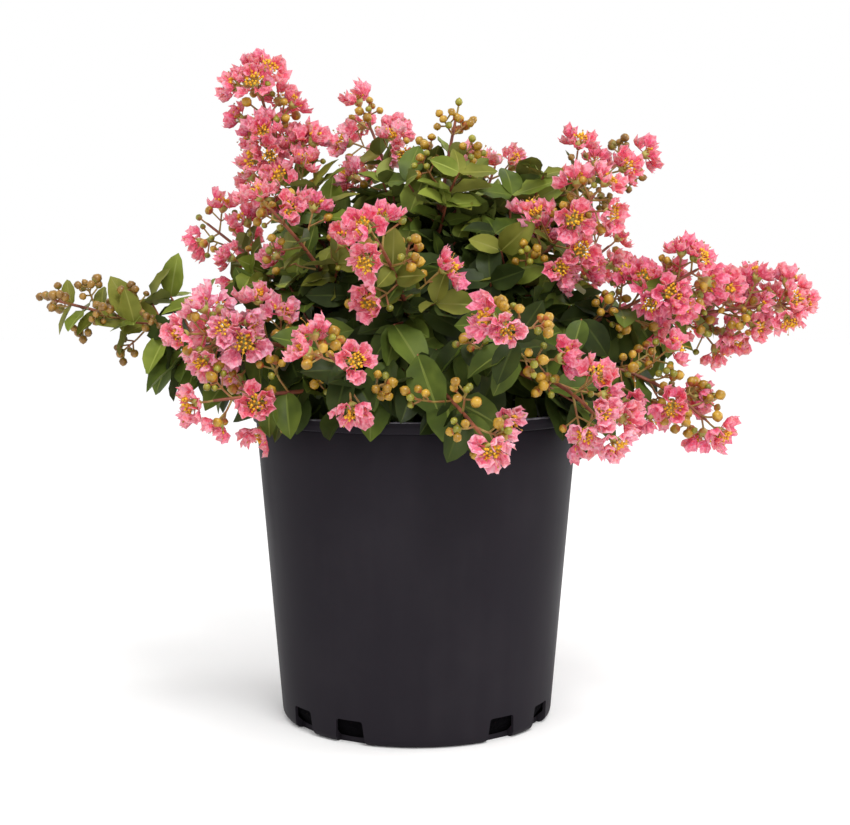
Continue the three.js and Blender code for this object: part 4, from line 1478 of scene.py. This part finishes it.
def petal_shape(number):
    """A clawed kidney-shaped blade whose margin is lobed, each lobe pleated up or down."""
    draw = seeded(PETAL_SHAPE_SEED + number)
    spreads = np.linspace(-1, 1, PETAL_COLUMNS)
    notched, lifted = frill(draw)
    curl, cup = (span * (draw() - back) for span, back in (PETAL_CURL, PETAL_CUP))
    lean = jitter(draw, PETAL_LEAN)

    def surface(share, column):
        spread = spreads[column]
        angle = math.radians(spread * PETAL_SPAN)
        kidney = KIDNEY_WAIST + KIDNEY_SWELL * math.cos(angle)
        reach = BLADE_LENGTH * share * kidney * (1 + notched[column] * share)
        x, y = reach * math.cos(angle), reach * math.sin(angle)
        height = lifted[column] * share + curl * share**2 + cup * (spread * share) ** 2
        return Vector((CLAW_LENGTH + x, y, height + lean * y))

    def band_of(skin, row, column):
        return FRILL_BAND if row == len(PETAL_ROWS) - 2 else BLADE_BAND

    shape = ([], [], [], set())
    thin_blade(shape, PETAL_ROWS, range(PETAL_COLUMNS), surface, PETAL_HALF_GAP, band_of)
    claw = [Vector((0, 0, 0)), Vector((CLAW_LENGTH + 2, 0, 0.2))]
    add_thread(shape, claw, CLAW_RADII, CLAW_BAND)
    return shape


petal_box = shape_box("petal_shape", [petal_shape(number) for number in range(PETAL_SHAPES)])

# %% Petals round a bloom
PETALS, CLAW_FOOT, CLAW_FOOT_HEIGHT = 6, 1.6, 5.0
PETAL_LIFT, PETAL_ROLL, PETAL_SIZE, PETAL_STRAY = (-18, 62), 1.5, (0.85, 0.3), 0.35


def bloom_axes(facing, angle):
    """Outward, sideways and axis directions of a bloom at an angle round it."""
    out = Vector((0, math.cos(angle), math.sin(angle)))
    along = Vector((0, -math.sin(angle), math.cos(angle)))
    return facing @ out, facing @ along, facing @ Vector((1, 0, 0))


def petals_of(end, facing, size, draw):
    spots = []
    for petal in range(PETALS):
        angle = 2 * math.pi * (petal + jitter(draw, PETAL_STRAY)) / PETALS
        out, along, axis = bloom_axes(facing, angle)
        lift = math.radians(drawn(draw, *PETAL_LIFT))
        way = out * math.cos(lift) + axis * math.sin(lift)
        face = axis * math.cos(lift) - out * math.sin(lift) + along * jitter(draw, PETAL_ROLL)
        root = end + (axis * CLAW_FOOT_HEIGHT + out * CLAW_FOOT) * size
        petal_size = size * drawn(draw, *PETAL_SIZE)
        spots.append((root, turn_along(way, face), petal_size, int(draw() * PETAL_SHAPES)))
    return spots


print("petals to come:", PETALS * len(blooms))

# %% [markdown]
# ## Stamens
# The middle of each bloom is a tuft of short stamens with bright yellow anthers, and five longer ones
# that arch out over the petals with duller tips. One short and one long stamen are made, with a few
# faces each, and every bloom sets its tuft of them.

# %% Stamen shapes
THREAD_BAND, ANTHER_BAND, LONG_ANTHER_BAND = 0, 1, 2
THREAD_RADIUS, SHORT_ANTHER, LONG_ANTHER = 0.2, 1.3, 0.8
SHORT_LINE = ((0, 0), (7.4, 0))
LONG_ARCH = ((0, 0), (6, 1.2), (10, 3.6), (12, 6.5))


def add_anther(shape, centre, radius, band):
    """A small eight-faced grain, longer along its thread."""
    points, faces, bands, _ = shape
    first = len(points)
    for offset in ((1.3, 0, 0), (-1.3, 0, 0), (0, 1, 0), (0, -1, 0), (0, 0, 1), (0, 0, -1)):
        points.append(centre + Vector(offset) * radius)
    for tip, order in ((0, (2, 4, 3, 5)), (1, (2, 5, 3, 4))):
        for a, b in zip(order, order[1:] + order[:1]):
            faces.append((first + tip, first + a, first + b))
            bands.append(band)


def stamen_shape(arch, anther, band):
    shape = ([], [], [], set())
    spine = [Vector((x, 0, z)) for x, z in arch]
    add_thread(shape, spine, [THREAD_RADIUS] * len(spine), THREAD_BAND)
    add_anther(shape, spine[-1], anther, band)
    return shape


short_stamen = stamen_shape(SHORT_LINE, SHORT_ANTHER, ANTHER_BAND)
long_stamen = stamen_shape(LONG_ARCH, LONG_ANTHER, LONG_ANTHER_BAND)
stamen_box = shape_box("stamen_shape", [short_stamen, long_stamen])

# %% Stamens round a bloom
SHORT_STAMENS, LONG_STAMENS = 22, 5
SHORT_SHAPE, LONG_SHAPE = 0, 1
TUFT_STEP, TUFT_STRAY, TUFT_SPREAD = 2.4, 0.5, 1.05
LONG_STRAY, LONG_SPREAD = 0.3, 0.2
SHORT_SIZE, LONG_SIZE = (0.8, 0.35), (0.8, 0.25)


def stamens_of(end, facing, size, draw):
    """A tuft of short stamens set in a spiral, and long ones round it."""
    spots = []
    for stamen in range(SHORT_STAMENS):
        out, _, axis = bloom_axes(facing, TUFT_STEP * stamen + TUFT_STRAY * draw())
        share = math.sqrt((stamen + 0.5) / SHORT_STAMENS)
        root = end + (axis * CLAW_FOOT_HEIGHT + out * (CLAW_FOOT * share)) * size
        turn = turn_along(axis + out * (TUFT_SPREAD * share), -out)
        spots.append((root, turn, size * drawn(draw, *SHORT_SIZE), SHORT_SHAPE))
    for stamen in range(LONG_STAMENS):
        angle = 2 * math.pi * (stamen + 0.5 + LONG_STRAY * draw()) / LONG_STAMENS
        out, _, axis = bloom_axes(facing, angle)
        root = end + (axis * CLAW_FOOT_HEIGHT + out * CLAW_FOOT) * size
        turn = turn_along(axis + out * LONG_SPREAD, out)
        spots.append((root, turn, size * drawn(draw, *LONG_SIZE), LONG_SHAPE))
    return spots


print("stamens to come:", (SHORT_STAMENS + LONG_STAMENS) * len(blooms))

# %% [markdown]
# ## Cups and buds
# Under the petals sits a green cup with six pointed lobes and the round young fruit in it. A bud is
# the same cup still shut: a round, six-ribbed ball with a short point, ochre green with a red blush
# at its foot.

# %% Cups and buds
CUP_SIDES, FOOT_RINGS = 12, 2
CUP_PROFILE = [(0, 0), (0.3, 0.95), (3.0, 3.4), (6.0, 4.2), (5.0, 2.4), (7.6, 0)]
BUD_PROFILE = [(0, 0), (0.5, 1.1), (2.3, 3.5), (5.0, 4.5), (7.8, 3.0), (9.7, 0)]
BUD_STRETCHES = (1.0, 0.88, 1.12)
LOBE_RING, LOBE_TIP, LOBE_NOTCH = 2, (2.4, 1.3), (-0.8, 0.95)
RIB, FURROW = 1.06, 0.96


def turned_shape(profile, wobble):
    """A small shape turned about +X from (x, radius) pairs; wobble shifts and scales its corners."""
    points = [Vector((profile[0][0], 0, 0))]
    for ring, (x, radius) in enumerate(profile[1:-1]):
        for corner, (cosine, sine) in enumerate(circle(CUP_SIDES)):
            shift, scale = wobble(ring, corner)
            points.append(Vector((x + shift, radius * scale * cosine, radius * scale * sine)))
    points.append(Vector((profile[-1][0], 0, 0)))
    faces = turned_faces(len(profile) - 2, CUP_SIDES)
    bands = [0 if number < CUP_SIDES * FOOT_RINGS else 1 for number in range(len(faces))]
    return points, faces, bands, set()


def cup_lobes(ring, corner):
    if ring != LOBE_RING:
        return (0, 1)
    return LOBE_NOTCH if corner % 2 else LOBE_TIP


def bud_ribs(ring, corner):
    return (0, FURROW if corner % 2 else RIB)


def bud_shape(stretch):
    return turned_shape([(x * stretch, radius) for x, radius in BUD_PROFILE], bud_ribs)


cup_box = shape_box("cup_shape", [turned_shape(CUP_PROFILE, cup_lobes)])
bud_box = shape_box("bud_shape", [bud_shape(stretch) for stretch in BUD_STRETCHES])

# %% [markdown]
# ## Flower finishes and pieces
# Petals are coral pink, deeper at the claw and paler at the frill, with a crape of fine wrinkles, and
# so thin that some light passes into them. Each spray takes one of three pinks, so the colours have
# their place as plain base colours.

# %% Petal pieces
# Claw, blade (dark, light), frill (dark, light).
PETAL_COLOURS = {
    "rose": ((192, 48, 82), (216, 68, 104), (233, 104, 134), (227, 92, 125), (245, 145, 168)),
    "coral": ((196, 56, 80), (219, 78, 106), (235, 116, 137), (230, 104, 129), (246, 157, 174)),
    "pale": ((198, 64, 92), (221, 92, 122), (238, 134, 156), (234, 122, 148), (249, 178, 193)),
}
TINT_ORDER = ("rose", "coral", "rose", "pale", "coral")
TINT_STRAY, PETAL_SEED, STAMEN_SEED = 1.3, 3, 5
PETAL_BODY = {"Specular_IOR_Level": 0.2, "Subsurface_Weight": 0.3, "Subsurface_Scale": 0.002}
PANICLE_NODES = sorted(name for name in frame["nodes"] if name.startswith("panicle_"))


def crape(dark, light):
    """Petal paint: soft lumps of two pinks, and wrinkles that only bend the light."""
    return two_tone(dark, light, (400, 4, 0.36, 0.64), (420, 3), (0.62, 0.16), (0.65, 1.5))


petals = {tint: [] for tint in PETAL_COLOURS}
petal_draw = seeded(PETAL_SEED)
for end, facing, size, spray in blooms:
    tint = TINT_ORDER[(spray + int(TINT_STRAY * petal_draw())) % len(TINT_ORDER)]
    petals[tint] += petals_of(end, facing, size, petal_draw)
for tint, spots in petals.items():
    claw, dark, light, frill_dark, frill_light = PETAL_COLOURS[tint]
    finishes = [
        finish(f"petal_{tint}_claw", crape(claw, dark), **PETAL_BODY),
        finish(f"petal_{tint}_blade", crape(dark, light), **PETAL_BODY),
        finish(f"petal_{tint}_frill", crape(frill_dark, frill_light), **PETAL_BODY),
    ]
    piece = spray_piece(f"petals_{tint}", spots, petal_box, finishes)
    keep(piece, "blossom", *(PANICLE_NODES if tint == "rose" else []))
empty_box(petal_box)

# %% Stamen, cup and bud pieces
# For each band: dark, light, lumps to the metre, roughness, bump in millimetres.
STAMEN_PAINTS = {
    "stamen_thread": ((214, 150, 60), (230, 182, 96), 300, 0.6, 0.05),
    "anther_yellow": ((220, 160, 14), (242, 194, 44), 400, 0.7, 0.1),
    "anther_dull": ((150, 108, 34), (186, 144, 60), 400, 0.7, 0.1),
}
CUP_PAINTS = {
    "cup_foot": ((168, 112, 62), (176, 146, 72), 260, 0.5, 0.1),
    "cup_lobes": ((150, 148, 70), (182, 170, 86), 260, 0.5, 0.1),
}
# Foot (dark, light), ball (dark, light).
BUD_COLOURS = {
    "ochre": ((158, 70, 34), (184, 112, 44), (142, 104, 22), (194, 152, 46)),
    "green": ((130, 88, 34), (146, 116, 42), (108, 108, 24), (152, 146, 46)),
    "russet": ((114, 104, 34), (144, 128, 50), (110, 76, 28), (160, 120, 48)),
}


def speckled_piece(name, spots, box, paints):
    """Makes and keeps a piece of blossom with a speckled finish for each band."""
    finishes = [finish(label, speckled(*sizes)) for label, sizes in paints.items()]
    keep(spray_piece(name, spots, box, finishes), "blossom")


stamen_draw = seeded(STAMEN_SEED)
stamen_spots = [spot for bloom in blooms for spot in stamens_of(*bloom[:3], stamen_draw)]
cup_spots = [(end, facing, size, 0) for end, facing, size, _ in blooms]
speckled_piece("stamens", stamen_spots, stamen_box, STAMEN_PAINTS)
speckled_piece("flower_cups", cup_spots, cup_box, CUP_PAINTS)
for tint, spots in buds.items():
    foot_dark, foot_light, ball_dark, ball_light = BUD_COLOURS[tint]
    bud_paints = {
        f"bud_{tint}_foot": (foot_dark, foot_light, 200, 0.45, 0.1),
        f"bud_{tint}_ball": (ball_dark, ball_light, 160, 0.3, 0.1),
    }
    speckled_piece(f"buds_{tint}", spots, bud_box, bud_paints)
for box in (stamen_box, cup_box, bud_box):
    empty_box(box)

# %% [markdown]
# ## Growing mix
# The pot is filled with shredded bark. From above, a lumpy dark bed and loose chips show between the
# boughs. The bed is a disc of rings pushed up and down by noise; a tree scatters the chips on it. Lower
# down, the bed is painted near black as painted shade, which shows through the drain slots.

# %% Mix bed
MIX_RINGS, MIX_SIDES, MIX_SIDE_HEIGHTS = 26, 90, (12, 100)
MIX_GAP, MIX_UNDER_GAP, MIX_DIP, DIP_FADE = 0.6, 0.4, 5, 2.5
# Height of the lumps in millimetres, and waves to the metre.
LUMP_HEIGHT, LUMP_WAVES, CRUMB_WAVES, CRUMB_SHARE = 1.6, 90, 260, 0.6
# Up to this height the mix is painted near black, as painted shade inside the pot.
MIX_SHADE_TOP = 120.0


def mix_paint(wire):
    crumbs = wire.noise(260, 6).clamped(0.3, 0.7)
    height = wire.node("ShaderNodeSeparateXYZ", None, {0: wire.place()}, out="Z")
    # Painted shade: the mix darkens to near black towards its foot, the dark that shows through the
    # drain slots.
    above_shade = height.clamped(MIX_SHADE_TOP * MM, MIX_TOP * MM)
    return {
        "Base Color": above_shade.mixed(srgb(5, 4, 6), crumbs.mixed(srgb(38, 26, 19), srgb(84, 60, 44))),
        "Roughness": 0.85 + crumbs * 0.1,
        "Normal": crumbs.bump(0.7, 1.5),
    }


def mix_profile():
    """Underside, side and a top that dips towards the wall."""
    edge = pot_radius(MIX_TOP) - POT_WALL - MIX_GAP
    floor_reach = pot_radius(POT_FLOOR + 1) - POT_WALL - POT_CORNER
    under = POT_FLOOR + MIX_UNDER_GAP
    side_heights = (*MIX_SIDE_HEIGHTS, MIX_TOP - MIX_DIP)
    profile = [(0, under), (floor_reach, under)]
    profile += [(pot_radius(h) - POT_WALL - MIX_GAP, h) for h in side_heights]
    for ring in range(1, MIX_RINGS):
        fall = MIX_DIP * math.exp(-ring / DIP_FADE)
        profile.append((edge * (1 - ring / MIX_RINGS), MIX_TOP - fall))
    return profile + [(0, MIX_TOP)]


mix_crumbs = finish("mix_crumbs", mix_paint, Specular_IOR_Level=0.03)
bed = turned("mix_bed", mix_profile(), MIX_SIDES, mix_crumbs)
for vertex in bed.data.vertices:
    if vertex.co.z > (MIX_TOP - MIX_DIP) * MM:
        lump = noise.noise(vertex.co * LUMP_WAVES)
        crumb = noise.noise(vertex.co * CRUMB_WAVES)
        vertex.co.z += (lump + CRUMB_SHARE * crumb) * LUMP_HEIGHT * MM
keep(bed, "growing_mix", "growing_mix")

# %% Chip shapes
CHIP_SHAPES, CHIP_SIDES, CHIP_SHAPE_SEED = 4, 6, 120
CHIP_HALF_LENGTH, CHIP_HALF_WIDTH, CHIP_HALF_THICKNESS = 7.5, 3.0, 0.9
CORNER_REACH, CORNER_THICKNESS = (0.75, 0.5), (0.7, 0.6)


def chip_shape(number):
    """A shard of bark: a flat six-sided splinter with chance corners."""
    draw = seeded(CHIP_SHAPE_SEED + number)
    points = []
    for z in (-CHIP_HALF_THICKNESS, CHIP_HALF_THICKNESS):
        for cosine, sine in circle(CHIP_SIDES):
            reach = drawn(draw, *CORNER_REACH)
            x, y = CHIP_HALF_LENGTH * reach * cosine, CHIP_HALF_WIDTH * reach * sine
            points.append(Vector((x, y, z * drawn(draw, *CORNER_THICKNESS))))
    faces = [tuple(range(CHIP_SIDES))[::-1], tuple(range(CHIP_SIDES, 2 * CHIP_SIDES))]
    faces += ring_faces(0, CHIP_SIDES, CHIP_SIDES)
    sharp = {tuple(sorted(edge)) for face in faces for edge in zip(face, face[1:] + face[:1])}
    return points, faces, [0] * len(faces), sharp


chip_box = shape_box("chip_shape", [chip_shape(number) for number in range(CHIP_SHAPES)])

# %% Scattered bark chips
LEAST_TURN, GREATEST_TURN = (-0.5, -0.5, 0.0), (0.5, 0.5, 6.28)
LEAST_CHIP, GREATEST_CHIP = 0.5, 1.3
CHIPS_PER_AREA, CHIP_EDGE, CHIP_DIP, CHIP_SEED = 16000.0, 13, 8, 4


def chip_tree():
    """Scatters chips on the top of a bed, up to a reach from its axis."""
    inputs = {
        "Chips": "NodeSocketCollection",
        "Chips per area": "NodeSocketFloat",
        "Reach": "NodeSocketFloat",
        "Lowest": "NodeSocketFloat",
        "Least size": "NodeSocketFloat",
        "Greatest size": "NodeSocketFloat",
        "Seed": "NodeSocketInt",
        "Finish": "NodeSocketMaterial",
    }
    tree, wire, given = new_tree("chip_scatter", inputs)
    position = wire.node("GeometryNodeInputPosition")
    height = wire.node("ShaderNodeSeparateXYZ", None, {0: position}, out="Z")
    across = wire.node("ShaderNodeVectorMath", {"operation": "MULTIPLY"}, {0: position, 1: (1, 1, 0)})
    from_axis = wire.node("ShaderNodeVectorMath", {"operation": "LENGTH"}, {0: across}, out="Value")
    on_top = wire.maths("GREATER_THAN", height, given["Lowest"])
    inside = wire.maths("LESS_THAN", from_axis, given["Reach"])
    sockets = {
        "Mesh": given["Geometry"],
        "Selection": on_top * inside,
        "Density": given["Chips per area"],
        "Seed": given["Seed"],
    }
    points = wire.node("GeometryNodeDistributePointsOnFaces", None, sockets)
    turns = {0: LEAST_TURN, 1: GREATEST_TURN, "Seed": given["Seed"]}
    turn = wire.node("FunctionNodeRandomValue", {"data_type": "FLOAT_VECTOR"}, turns)
    sizes = {2: given["Least size"], 3: given["Greatest size"], "Seed": given["Seed"]}
    size = wire.node("FunctionNodeRandomValue", {"data_type": "FLOAT"}, sizes, out=1)
    real = set_on_points(wire, points, given["Chips"], {"Rotation": turn, "Scale": size})
    return end_tree(tree, painted(wire, real, given["Finish"]))


chip_values = {
    "Chips": chip_box,
    "Chips per area": CHIPS_PER_AREA,
    "Reach": (pot_radius(MIX_TOP) - POT_WALL - CHIP_EDGE) * MM,
    "Lowest": (MIX_TOP - CHIP_DIP) * MM,
    "Least size": LEAST_CHIP,
    "Greatest size": GREATEST_CHIP,
    "Seed": CHIP_SEED,
    "Finish": finish("bark_chip", speckled((58, 38, 26), (116, 84, 60), 120, 0.9, 0.4)),
}
chip_host = linked("chip_host", bed.data.copy())
keep(run_tree("bark_chips", chip_host, chip_tree(), chip_values), "growing_mix")
empty_box(chip_box)

# %% [markdown]
# ## Size and end
# The boxes of the solids and of the dressed shrub are both written down and printed, with the number of
# triangles in all.

# %% Measure and finish
bpy.context.view_layer.update()
DRESSED_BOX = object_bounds()
sizes = {"cad": [list(corner) for corner in CAD_BOX], "visual": [list(corner) for corner in DRESSED_BOX]}
print("CAD box:", sizes["cad"])
print("dressed box:", sizes["visual"])
print("triangles in all:", sum(triangles(piece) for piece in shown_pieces()))
